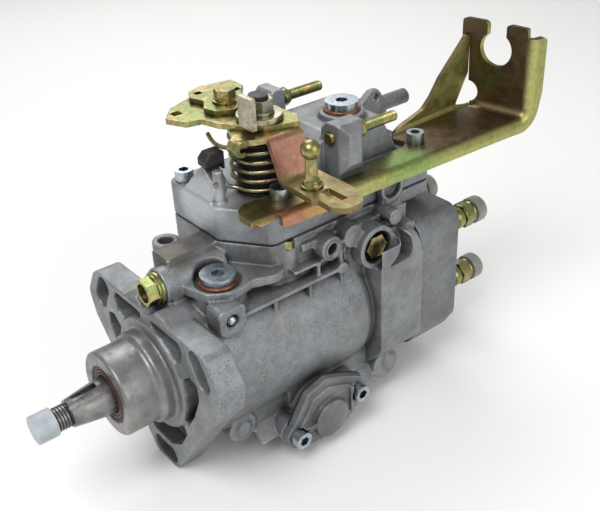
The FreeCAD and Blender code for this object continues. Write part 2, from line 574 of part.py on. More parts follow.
def make_drive():
    bar = turned([("shaft_tip", "0"), ("shaft_tip", "shaft_thread_r - 1"),
                  ("shaft_tip + 1", "shaft_thread_r"), ("shaft_taper_end", "shaft_thread_r"),
                  ("shaft_taper_end", "shaft_taper_end_r"), ("shaft_taper_start", "shaft_r"),
                  ("gear_room_end + 0.2", "shaft_r"), ("gear_room_end + 0.2", "0")])
    keyway = block("shaft_taper_end + 3", "shaft_taper_start - 2", "-1 * keyway_wide / 2",
                   "keyway_wide / 2", "shaft_r - keyway_deep - 1", "shaft_r + 2")
    dogs = block("gear_room_end", "cam_start - 0.5", "-3.5", "3.5", "-1 * shaft_r + 1", "shaft_r - 1")
    cut(fuse(bar, dogs), keyway, label="drive_shaft")
    cut(rod("-X", "thread_cap_r", "thread_cap_long", "shaft_tip + thread_cap_long - 1"),
        rod("-X", "shaft_thread_r", "thread_cap_long", "shaft_tip + thread_cap_long"),
        label="shaft_thread_cap")
    rotor = rod("X", "vane_rotor_r", "vane_wide", "vane_start")
    slot_high = block("vane_start - 1", "vane_start + vane_wide + 1", "-1 * vane_thick / 2",
                      "vane_thick / 2", "vane_rotor_r - 8", "vane_rotor_r + 1")
    slot_low = block("vane_start - 1", "vane_start + vane_wide + 1", "-1 * vane_thick / 2",
                     "vane_thick / 2", "-1 * vane_rotor_r - 1", "-1 * vane_rotor_r + 8")
    slot_far = block("vane_start - 1", "vane_start + vane_wide + 1", "vane_rotor_r - 8",
                     "vane_rotor_r + 1", "-1 * vane_thick / 2", "vane_thick / 2")
    slot_near = block("vane_start - 1", "vane_start + vane_wide + 1", "-1 * vane_rotor_r - 1",
                      "-1 * vane_rotor_r + 8", "-1 * vane_thick / 2", "vane_thick / 2")
    cut(rotor, slot_high, slot_low, slot_far, slot_near,
        rod("X", "shaft_r", "vane_wide + 2", "vane_start - 1"), label="vane_rotor")
    blades = []
    for turn in (0, 90, 180, 270):
        blade = block("vane_start", "vane_start + vane_wide", "-1 * vane_thick / 2",
                      "vane_thick / 2", "vane_rotor_r - 8", "vane_rotor_r")
        angle = math.radians(turn)
        spin = FreeCAD.Rotation(Vector(1, 0, 0), turn)
        corner = spin.multVec(Vector(0, -amount("vane_thick") / 2, amount("vane_rotor_r - 8")))
        blade.Placement = FreeCAD.Placement(
            Vector(amount("vane_start"), corner.y, corner.z), spin)
        bind(blade, Placement__Base__x="vane_start",
             Placement__Base__y=f"vane_thick / 2 * {-math.cos(angle):.6f}"
                                f" - (vane_rotor_r - 8) * {math.sin(angle):.6f}",
             Placement__Base__z=f"vane_thick / 2 * {-math.sin(angle):.6f}"
                                f" + (vane_rotor_r - 8) * {math.cos(angle):.6f}")
        blades.append(blade)
    group("pump_vanes", *blades)
    cut(rod("X", "vane_ring_r", "vane_wide", "vane_start"),
        rod("X", "vane_bore_r", "vane_wide + 2", "vane_start - 1", "vane_offset"),
        label="vane_pump_ring")
    cut(rod("X", "vane_ring_r", "vane_plate_thick", "vane_start + vane_wide"),
        rod("X", "shaft_r + 1", "vane_plate_thick + 2", "vane_start + vane_wide - 1"),
        label="vane_pump_plate")
    wheel = gear_profile("drive_teeth", 90 + 180 / amount("drive_teeth")).extrude(
        Vector(amount("gear_thick"), 0, 0))
    bore = Part.makeCylinder(amount("shaft_r"), amount("gear_thick"), Vector(0, 0, 0), Vector(1, 0, 0))
    gear = wheel.cut(bore)
    gear.translate(Vector(amount("gear_start"), 0, 0))
    solid_node("drive_gear", gear)


def make_cam_group():
    ring = cut(rod("X", "ring_r", "ring_thick", "ring_start"),
               rod("X", "ring_in_r", "ring_thick + 2", "ring_start - 1"))
    pocket_tools, rollers, pins = [], [], []
    roller_x = "ring_start + ring_thick"
    for turn in (45, 135, 225, 315):
        angle = math.radians(turn)
        across, up = math.cos(angle), math.sin(angle)
        spin = FreeCAD.Rotation(Vector(1, 0, 0), turn).multiply(ALONG["Y"])
        for tools, radius, start, length in (
                (pocket_tools, "roller_r + face_gap", "roller_middle - roller_long / 2 - 0.3",
                 "roller_long + 0.6"),
                (rollers, "roller_r", "roller_middle - roller_long / 2", "roller_long"),
                (pins, "2", "ring_in_r + 1", "ring_r - ring_in_r - 2")):
            piece = doc.addObject("Part::Cylinder", tidy_name("rod"))
            bind(piece, Radius=radius, Height=length)
            place = Vector(amount(roller_x), amount(start) * across, amount(start) * up)
            piece.Placement = FreeCAD.Placement(place, spin)
            bind(piece, Placement__Base__x=roller_x,
                 Placement__Base__y=f"({start}) * {across:.6f}",
                 Placement__Base__z=f"({start}) * {up:.6f}")
            tools.append(piece)
    arm = rod("-Z", "2.4", "14", "timer_x", "0", "-22")
    knob = ball("3.9", "timer_x", "0", "timer_z + 4")
    cut(fuse(ring, arm, knob), *pocket_tools, *pins, label="roller_ring")
    bored = [cut(roller, rod_copy) for roller, rod_copy in zip(rollers, pins)]
    group("rollers", *bored, *pins)
    plate = rod("X", "cam_r", "cam_thick", "cam_start")
    lobes = []
    for turn in (45, 135, 225, 315):
        lobe = ring_sector("ring_in_r + 3", "cam_r", "cam_start - cam_lift", "cam_lift + 1",
                           turn - 9, "18")
        lobes.append(lobe)
    boss = rod("X", "16", "12", "cam_start")
    cut(fuse(plate, boss, *lobes), rod("X", "9.6", "5", "cam_start - 1"),
        rod("X", "plunger_r", "20", "cam_start - 1"), label="cam_disc")
    stem = turned([("cam_start + 4", "0"), ("cam_start + 4", "plunger_r"),
                   ("head_end - 12", "plunger_r"), ("head_end - 12", "0")])
    cut(stem, rod("X", "1.6", "60", "spool_middle"), label="plunger")
    cut(block("cam_start + 13", "cam_start + 16", "-25", "25", "-9", "9"),
        rod("X", "plunger_r + 1", "9", "cam_start + 10"), label="spring_bridge")
    springs = []
    for side in (-1, 1):
        start = amount("cam_start + 16")
        span = amount("seam_x") - start
        spring = coil(5.5, 1.0, (span - 2) / 6, 6, corners=8, sides=5)
        spring.rotate(Vector(0, 0, 0), Vector(0, 1, 0), 90)
        spring.translate(Vector(start + 1, 18.5 * side, 0))
        springs.append(spring)
    solid_node("plunger_springs", Part.makeCompound(springs))
    spool = rod("X", "spool_r", "spool_half * 2", "spool_middle - spool_half")
    cut(spool, rod("X", "plunger_r + running_gap", "spool_half * 2 + 2",
                   "spool_middle - spool_half - 1"),
        rod("-Z", "2.9", "5", "spool_middle", "0", "spool_r + 1"), label="control_spool")


def make_head():
    body = padded("YZ_Plane", "seam_x", "head_end - seam_x", mirrored_outline([
        ("block_half", "block_high - 1"), ("block_half", "cheek_low - 2"), ("36", "block_low + 4"),
        ("24", "block_low")]), "block_round")
    sleeve = rod("-X", "barrel_sleeve_r", "18", "seam_x + 1")
    tools = [rod("X", "plunger_r + running_gap", "head_end - seam_x + 40", "seam_x - 20"),
             rod("X", "head_plug_r", "10", "head_end - 9")]
    hex_start, hex_end = "head_end + valve_reach", "head_end + valve_reach + valve_hex_long"
    end = f"{hex_end} + valve_tip_long"
    cap_start = f"{hex_end} + valve_cap_gap"
    holders, caps = [], []
    for y_sign in (-1, 1):
        for z_sign in (-1, 1):
            y, z = f"valve_side * {y_sign}", f"valve_side * {z_sign}"
            tools.append(rod("-X", "valve_r", "14", "head_end + 1", y, z))
            stem = rod("X", "valve_r", "valve_reach + 13", "head_end - 13", y, z)
            flare = rod("X", "valve_r + 0.8", "valve_reach - 12", "head_end + 6", y, z)
            collar = hexagon("X", "valve_hex", "valve_hex_long", hex_start, y, z,
                             twist=12 * y_sign + 5 * z_sign)
            tip = rod("X", "valve_tip_r", "valve_tip_long", hex_end, y, z)
            channel = rod("-X", "1.6", "valve_reach + valve_hex_long + valve_tip_long + 14",
                          f"{end} + 1", y, z)
            holders.append(cut(fuse(stem, flare, collar, tip), channel))
            caps.append(cut(rod("X", "valve_cap_r", "valve_cap_long", cap_start, y, z),
                            rod("X", "valve_tip_r", "valve_tip_long - valve_cap_gap + 1",
                                f"{cap_start} - 1", y, z)))
    cut(fuse(body, sleeve), *tools, label="hydraulic_head")
    group("delivery_valve_holders", *holders)
    group("valve_caps", *caps)
    cut(fuse(rod("-X", "head_plug_r", "7", "head_end"),
             hexagon("X", "17", "6", "head_end", "0", "0")),
        rod("X", "3.4", "6", "head_end + 2"), label="head_plug")
    bolts = [hexagon("X", "10", "5", "head_end", y, z, twist=10)
             for y, z in (("-34", "34"), ("34", "34"), ("-34", "-29"), ("34", "-29"))]
    group("head_bolts", *bolts)


def cover_outline(inset):
    """The rounded rhombus of a timer cover, drawn in by an inset."""
    corners = ((-28, -3), (-13, 20.5), (1, 24.3), (16, 18), (26.5, 12), (30, 5.5), (28, -1),
               (14, -13), (0, -15.5), (-18, -14), (-25, -10))
    points = []
    for across, up in corners:
        shrink = 1 - inset / math.hypot(across, up)
        points.append((f"timer_x + {across * shrink:.3f}", f"timer_z + {up * shrink:.3f}"))
    return points


def make_timer():
    piston = rod("Y", "timer_bore_r - running_gap", "timer_piston_half * 2", "timer_x",
                 "timer_rest - timer_piston_half", "timer_z")
    well = rod("Z", "4.1", "20", "timer_x", "0", "timer_z - 2")
    pocket = rod("-Y", "8", "8", "timer_x", "timer_rest + timer_piston_half + 1", "timer_z")
    cut(piston, well, pocket, label="timer_piston")
    all_screws = []
    for side, name in ((-1, "near"), (1, "far")):
        along, back = ("-Y", "Y") if side < 0 else ("Y", "-Y")
        face = f"timer_face * {side}"
        thick = "timer_plate_thick + 1.8"
        offset, step_offset = "timer_face", "timer_face"
        if side > 0:
            offset = "-1 * timer_face - timer_plate_thick"
            step_offset = f"-1 * timer_face - {thick.replace('+', '-')}"
        plate = padded("XZ_Plane", offset, "timer_plate_thick", cover_outline(0), "3")
        step = padded("XZ_Plane", step_offset, thick, cover_outline(4.5), "2")
        cap = rod(along, "timer_cap_r", "timer_cap_face - timer_face", "timer_x", face, "timer_z")
        reach = sorted((f"{face} + {side}", f"{face} + timer_plate_thick * {side} + {side * 4}"),
                       key=amount)
        ribs = [block("timer_x - timer_screw_x + 2", "timer_x - 8", *reach, "timer_z - 1", "timer_z + 2"),
                block("timer_x + timer_screw_x - 7", "timer_x + timer_screw_x - 4.6", *reach,
                      "timer_z - 4", "timer_z + 13")]
        pads, holes, screws = [], [], []
        for swap in (1, -1):
            x = f"timer_x + timer_screw_x * {swap}"
            z = f"timer_z + timer_screw_z * {swap} + 1.2"
            head_face = f"timer_face * {side} + timer_plate_thick * {side}"
            pads.append(rod(along, "timer_ear_r", "timer_plate_thick", x, face, z))
            holes.append(rod(along, "screw_r", "timer_plate_thick + 2", x, face, z))
            holes.append(rod(along, "screw_head_r + 0.6", "12", x, head_face, z))
            head = rod(along, "screw_head_r", "screw_head_high", x, head_face, z)
            shank = rod(back, "screw_r", "timer_plate_thick", x, head_face, z)
            socket = hexagon(along, "5", "screw_head_high", x,
                             f"timer_face * {side} + timer_plate_thick * {side} + 3 * {side}", z)
            screws.append(cut(fuse(head, shank), socket))
        hollow = rod(along, "8.5", "6", "timer_x", f"timer_face * {side} - {side}", "timer_z")
        cut(fuse(plate, step, cap, *ribs, *pads), *holes, hollow, label=f"timer_cover_{name}")
        all_screws += screws
    group("timer_screws", *all_screws)
    start = amount("timer_rest + timer_piston_half - 7") + 1.2
    length = amount("timer_face + 5") - start - 1.2
    spring = coil(6.0, 1.1, length / 4, 4)
    spring.rotate(Vector(0, 0, 0), Vector(1, 0, 0), -90)
    spring.translate(Vector(amount("timer_x"), start, amount("timer_z")))
    solid_node("timer_spring", spring)


def make_governor():
    tip = "governor_boss_face - lock_nut_high"
    turned([(tip, "0"), (tip, "governor_shaft_r - 0.5"), (f"{tip} + 1", "governor_shaft_r"),
            ("box_front + box_wall + 1", "governor_shaft_r"),
            ("box_front + box_wall + 1", "governor_shaft_r - 1"),
            ("governor_shaft_end", "governor_shaft_r - 1"), ("governor_shaft_end", "0")],
           z="governor_z", label="governor_shaft")
    nut = hexagon("-X", "lock_nut_flats", "lock_nut_high", "governor_boss_face - lock_washer_thick",
                  "0", "governor_z", twist=20)
    washers = [rod("-X", f"lock_nut_flats / 2 + {more}", long, start, "0", "governor_z")
               for more, long, start in (("2.3", "1.6", "governor_boss_face"),
                                         ("1.2", "lock_washer_thick", "governor_boss_face"))]
    cut(fuse(nut, *washers), rod("-X", "governor_shaft_r", "14", "governor_boss_face + 1", "0",
                                 "governor_z"),
        label="governor_lock_nut")
    thick = amount("gear_thick")
    start = amount("gear_start")
    wheel = gear_profile("governor_teeth", -90).extrude(Vector(thick, 0, 0))
    wheel.translate(Vector(start, 0, amount("governor_z")))
    wheel = wheel.common(Part.makeCylinder(40, thick + 2, Vector(start - 1, 0, amount("governor_z")),
                                           Vector(1, 0, 0)))
    cage_r, long = amount("carrier_r"), amount("carrier_long")
    centre = Vector(start + thick, 0, amount("governor_z"))
    cage = Part.makeCylinder(cage_r, amount("carrier_floor"), centre, Vector(1, 0, 0))
    for turn in (45, 135, 225, 315):
        post = Part.makeBox(long, 4, 6, Vector(0, -2, cage_r - 6))
        post.rotate(Vector(0, 0, 0), Vector(1, 0, 0), turn)
        post.translate(centre)
        cage = cage.fuse(post)
    bore = Part.makeCylinder(amount("governor_shaft_r - 1") + 0.05, thick + long + 2,
                             Vector(start - 1, 0, amount("governor_z")), Vector(1, 0, 0))
    solid_node("flyweight_carrier", wheel.fuse(cage).cut(bore))
    for index, turn in enumerate((0, 90, 180, 270), start=1):
        weight = Part.makeBox(amount("weight_long"), amount("weight_wide"), amount("weight_high"),
                              Vector(amount("carrier_floor") + 0.5, -amount("weight_wide") / 2,
                                     9.5))
        toe_start = amount("carrier_floor + weight_long") - 3
        toe_long = amount("sleeve_start - face_gap") - start - thick - toe_start
        weight = weight.fuse(Part.makeBox(toe_long, 4, 6, Vector(toe_start, -2, 5.5)))
        weight.rotate(Vector(0, 0, 0), Vector(1, 0, 0), turn)
        weight.translate(centre)
        solid_node(f"flyweight_{index}", weight)
    turned([("sleeve_start", "governor_shaft_r - 1 + running_gap"), ("sleeve_start", "sleeve_r"),
            ("sleeve_start + sleeve_long", "sleeve_r"), ("sleeve_tip", "4"), ("sleeve_tip", "0"),
            ("governor_shaft_end + 2", "0"),
            ("governor_shaft_end + 2", "governor_shaft_r - 1 + running_gap")],
           z="governor_z", label="sliding_sleeve")


def make_levers():
    start_plate = padded("XZ_Plane", "-5", "10", [
        ("sleeve_tip + face_gap", "governor_z + 5"), ("sleeve_tip + face_gap + lever_thick",
                                                     "governor_z + 5"),
        ("sleeve_tip + 5", "governor_z - 8"), ("pivot_x + 2", "pivot_z + 4.5"),
        ("spool_middle + 2.4", "spool_r + 5"), ("spool_middle - 2.4", "spool_r + 3"),
        ("pivot_x - 3", "pivot_z - 5"), ("pivot_x - 5", "pivot_z"),
        ("sleeve_tip + 1.5", "governor_z - 9")])
    pin = rod("-Z", "2.5", "6.6", "spool_middle", "0", "spool_r + 5")
    hole = rod("Y", "2.05", "12", "pivot_x", "-6", "pivot_z")
    cut(fuse(start_plate, pin), hole, label="start_lever")
    cheeks = []
    for low in ("-8", "5.5"):
        cheeks.append(padded("XZ_Plane", f"-1 * {low} - 2.5", "2.5", [
            ("pivot_x - 8", "governor_z + 22"), ("pivot_x - 5", "governor_z + 22"),
            ("pivot_x - 2", "governor_z - 6"), ("pivot_x + 4", "pivot_z + 4"),
            ("pivot_x + 4", "pivot_z - 4"), ("pivot_x - 4", "pivot_z - 4"),
            ("pivot_x - 8", "governor_z - 6")]))
    bridge = block("pivot_x - 8", "pivot_x - 5", "-8", "8", "governor_z + 11", "governor_z + 22")
    cut(fuse(*cheeks, bridge), rod("Y", "2.05", "20", "pivot_x", "-10", "pivot_z"),
        rod("X", "1.6", "6", "pivot_x - 9", "0", "governor_z + 17.5"), label="tension_lever")
    pivot_pin = rod("Y", "2", "26", "pivot_x", "-13", "pivot_z")
    arms = []
    for low in ("-12.5", "10"):
        arms.append(padded("XZ_Plane", f"-1 * {low} - 2.5", "2.5", [
            ("well_x + 5", "well_z - 4"), ("well_x + 5", "well_z + 5"), ("well_x - 4", "well_z + 5"),
            ("pivot_x - 4", "pivot_z + 5"), ("pivot_x - 4", "pivot_z - 4"),
            ("pivot_x + 5", "pivot_z - 4")]))
    tie = block("well_x - 1", "well_x + 3", "-12.5", "12.5", "well_z + 5", "well_z + 8")
    lift = [block("well_x - 1", "well_x + 3", low, high, "well_z + 4", "well_z + 8")
            for low, high in (("-12.5", "-10"), ("10", "12.5"))]
    cut(fuse(*arms, tie, *lift, pivot_pin), rod("Y", "screw_r", "30", "well_x", "-15", "well_z"),
        label="corrector_lever")
    near = fuse(hexagon("Y", "12.5", "5.5", "well_x", "well_face + 1.5", "well_z"),
                rod("Y", "screw_r", "-1 * well_face - 16", "well_x", "well_face + 5", "well_z"))
    far = fuse(hexagon("Y", "12.5", "5.5", "well_x", "block_half", "well_z"),
               rod("-Y", "screw_r", "block_half - 10", "well_x", "block_half + 1", "well_z"))
    group("pivot_bolts", near, far)
    long = amount("pivot_x - 8") - amount("throttle_x") - 5.3
    spring = coil(4.0, 0.8, (long - 1.6) / 4, 4)
    spring.rotate(Vector(0, 0, 0), Vector(0, 1, 0), 90)
    spring.translate(Vector(amount("throttle_x") + 5.9, 0, amount("governor_z") + 17.5))
    solid_node("governor_spring", spring)


def make_cover():
    body = padded("XY_Plane", "seam_z + gasket_thick", "cover_top - seam_z - gasket_thick", [
        ("box_front", "box_far"), ("box_front", "chamfer_y"), ("chamfer_x", "box_near"),
        ("box_rear", "box_near"), ("box_rear", "box_far")], "box_round")
    hump = padded("XZ_Plane", "-25", "41", [
        ("plug_boss_x - 31", "cover_top - 1"), ("plug_boss_x - 27", "plug_boss_top - 8"),
        ("plug_boss_x - 20", "plug_boss_top - 4"), ("plug_boss_x + 16", "plug_boss_top - 4"),
        ("plug_boss_x + 30", "cover_top - 1")])
    boss = rod("Z", "plug_boss_r", "plug_boss_top - cover_top", "plug_boss_x", "plug_boss_y",
               "cover_top")
    neck = rod("Z", "9", "spring_low - cover_top - 2", "throttle_x", "throttle_y", "cover_top")
    near_block = common(
        padded("XY_Plane", "cover_top - 1", "36", [
            ("near_stop_x - 17", "near_stop_y + 8"), ("near_stop_x - 17", "near_stop_y - 5.5"),
            ("near_stop_x - 13", "near_stop_y - 10.5"), ("near_stop_x - 5", "near_stop_y - 10.5"),
            ("near_stop_x", "near_stop_y - 5.5"), ("near_stop_x", "near_stop_y + 8")]),
        padded("YZ_Plane", "near_stop_x - 18", "20", [
            ("near_stop_y + 8", "cover_top - 1"), ("near_stop_y + 8", "near_stop_z + 3.5"),
            ("near_stop_y + 3.5", "near_stop_z + 8"), ("near_stop_y - 6", "near_stop_z + 8"),
            ("near_stop_y - 10.5", "near_stop_z + 3.5"), ("near_stop_y - 10.5", "near_stop_z - 13"),
            ("near_stop_y - 5.8", "cover_top + 4.5"), ("near_stop_y - 5.8", "cover_top - 1")]))
    far_block = padded("XY_Plane", "cover_top - 1", "far_stop_z + 9 - cover_top", [
        ("far_stop_x - 14", "far_stop_y + 7"), ("far_stop_x - 14", "far_stop_y - 4"),
        ("far_stop_x - 11", "far_stop_y - 7"), ("far_stop_x - 3", "far_stop_y - 7"),
        ("far_stop_x", "far_stop_y - 4"), ("far_stop_x", "far_stop_y + 7")])
    far_cap = padded("XZ_Plane", "-1 * far_stop_y - 10", "20", [
        ("far_stop_x - 14", "cover_top - 2"), ("far_stop_x - 14", "far_stop_z + 4"),
        ("far_stop_x - 10", "far_stop_z + 8"), ("far_stop_x - 4", "far_stop_z + 8"),
        ("far_stop_x", "far_stop_z + 4"), ("far_stop_x", "cover_top - 2")])
    post = rod("Z", "2.8", "18.5", "box_front + 6", "throttle_y - 0.5", "cover_top - 1")
    wedge = faceted([
        ("box_front - 0.4", "box_far - 8", "cover_top - 7.5"), ("box_front - 0.4", "4", "cover_top - 9.5"),
        ("box_front + 2", "-0.5", "cover_top + 8.5"), ("box_front + 3", "10", "cover_top + 18"),
        ("box_front + 6", "box_far - 8", "cover_top - 7.5"), ("box_front + 6", "4", "cover_top - 9.5"),
        ("box_front + 12", "-0.5", "cover_top + 8.5"), ("box_front + 12", "10", "cover_top + 18")])
    outlet = rod("X", "7", "26", "plug_boss_x + 18", "20", "cover_top + 11")
    lug = cut(padded("XZ_Plane", "-13", "4", [
        ("plug_boss_x + 17", "cover_top + 15"), ("plug_boss_x + 30", "cover_top + 24.5"),
        ("plug_boss_x + 33", "cover_top + 26.5"), ("plug_boss_x + 38", "cover_top + 26.5"),
        ("plug_boss_x + 41", "cover_top + 23"), ("plug_boss_x + 41", "cover_top + 16"),
        ("plug_boss_x + 36", "cover_top - 1"), ("plug_boss_x + 20", "cover_top - 1")]),
        rod("Y", "2.5", "8", "plug_boss_x + 36", "7", "cover_top + 21.5"))
    screws = cover_screw_places()
    tools = [room("seam_z", "cover_ceiling - seam_z"),
             rod("Z", "throttle_r + running_gap", "60", "throttle_x", "throttle_y", "seam_z"),
             rod("-Z", "plug_thread_r", "20", "plug_boss_x", "plug_boss_y", "plug_boss_top + 1"),
             rod("X", "5", "20", "plug_boss_x + 28", "20", "cover_top + 11")]
    tools += [rod("Z", "screw_r", "40", x, y, "seam_z") for x, y, lift in screws]
    tools += [rod("X", "stop_screw_r", "30", f"{stem}_stop_x - 20", f"{stem}_stop_y",
                  f"{stem}_stop_z") for stem in ("near", "far")]
    cut(fuse(body, hump, boss, neck, near_block, common(far_block, far_cap), post, wedge, outlet,
             lug), *tools, label="governor_cover")
    rim = padded("XY_Plane", "seam_z", "gasket_thick", [
        ("box_front + 0.5", "box_far - 0.5"), ("box_front + 0.5", "chamfer_y"),
        ("chamfer_x + 0.5", "box_near + 0.5"), ("box_rear - 0.5", "box_near + 0.5"),
        ("box_rear - 0.5", "box_far - 0.5")], "box_round")
    holes = [rod("Z", "screw_r", "4", x, y, "seam_z - 1") for x, y, lift in screws]
    cut(rim, room("seam_z - 1", "gasket_thick + 2"), *holes, label="cover_gasket")
    group("cover_screws", *[socket_screw(x, y, f"cover_top + {lift}",
                                         f"cover_top - seam_z + {lift} + screw_reach")
                            for x, y, lift in screws])
    stop_screws = []
    for stem in ("near", "far"):
        y, z = f"{stem}_stop_y", f"{stem}_stop_z"
        shank = rod("X", "stop_screw_r", "47", f"{stem}_stop_x - 19", y, z)
        nut = hexagon("X", "stop_nut_flats", "4", f"{stem}_stop_x", y, z)
        stop_screws.append(fuse(shank, nut))
    group("stop_screws", *stop_screws)
    plug = [rod("Z", "plug_head_r", "plug_head_high", "plug_boss_x", "plug_boss_y",
                "plug_boss_top + washer_thick"),
            rod("-Z", "plug_thread_r", "14", "plug_boss_x", "plug_boss_y",
                "plug_boss_top + washer_thick + 0.5")]
    top_plug = cut(fuse(*plug), hexagon("Z", "6", "4", "plug_boss_x", "plug_boss_y",
                                        "plug_boss_top + 2.5"))
    inlet = [rod("Z", "plug_head_r", "plug_head_high", "inlet_x", "inlet_y",
                 "inlet_face_z + washer_thick"),
             rod("-Z", "plug_thread_r", "16", "inlet_x", "inlet_y",
                 "inlet_face_z + washer_thick + 0.5")]
    inlet_plug = cut(fuse(*inlet), hexagon("Z", "6", "4", "inlet_x", "inlet_y",
                                           "inlet_face_z + 2.5"))
    pressed_ball = ball("lug_ball_r", "ball_lug_x", "ball_lug_face + 3", "ball_lug_z")
    group("sealing_plugs", top_plug, inlet_plug, pressed_ball)
    rings = []
    for stem, x, y in (("plug_boss_top", "plug_boss_x", "plug_boss_y"),
                       ("inlet_face_z", "inlet_x", "inlet_y")):
        rings.append(cut(rod("Z", "plug_head_r + 0.9", "washer_thick", x, y, stem),
                         rod("Z", "plug_thread_r", "washer_thick + 2", x, y, f"{stem} - 1")))
    group("copper_washers", *rings)
    turned([("plug_boss_x + 29", "0"), ("plug_boss_x + 29", "5"), ("plug_boss_x + 44", "5"),
            ("plug_boss_x + 44", "7"), ("plug_boss_x + 49", "7"), ("plug_boss_x + 49", "4.5"),
            ("plug_boss_x + 70", "4.5"), ("plug_boss_x + 70", "2"), ("plug_boss_x + 40", "2"),
            ("plug_boss_x + 40", "0")], y="20", z="cover_top + 11", label="return_fitting")
    block_stop = padded("XZ_Plane", "-12", "8", [
        ("box_front + 2", "cover_top + 18"), ("box_front + 2", "cover_top + 22"),
        ("box_front + 5", "cover_top + 25"), ("box_front + 13", "cover_top + 25"),
        ("box_front + 13", "cover_top + 15"), ("box_front + 12", "cover_top + 15"),
        ("box_front + 12", "cover_top + 18")])
    named(block_stop, "rubber_stop")
    guide = fuse(rod("Z", "guide_flange_r", "1.6", "throttle_x", "throttle_y", "cover_top"),
                 rod("Z", "guide_r", "lever_z - cover_top - 3.5", "throttle_x", "throttle_y",
                     "cover_top"))
    cut(guide, rod("Z", "throttle_r + face_gap", "60", "throttle_x", "throttle_y", "seam_z"),
        rod("Z", "9", "spring_low - cover_top - 1", "throttle_x", "throttle_y", "cover_top - 1"),
        label="spring_guide")


def cover_screw_places():
    """Where each cover screw stands, and how much bracket lies under its head."""
    return (("box_front + screw_inset", "box_far - screw_inset", "0"),
            ("chamfer_x + 10.5", "box_near + screw_inset - 0.8", "bracket_thick"),
            ("box_rear - screw_inset", "box_near + screw_inset", "bracket_thick"),
            ("box_rear - screw_inset", "box_far - screw_inset", "0"))


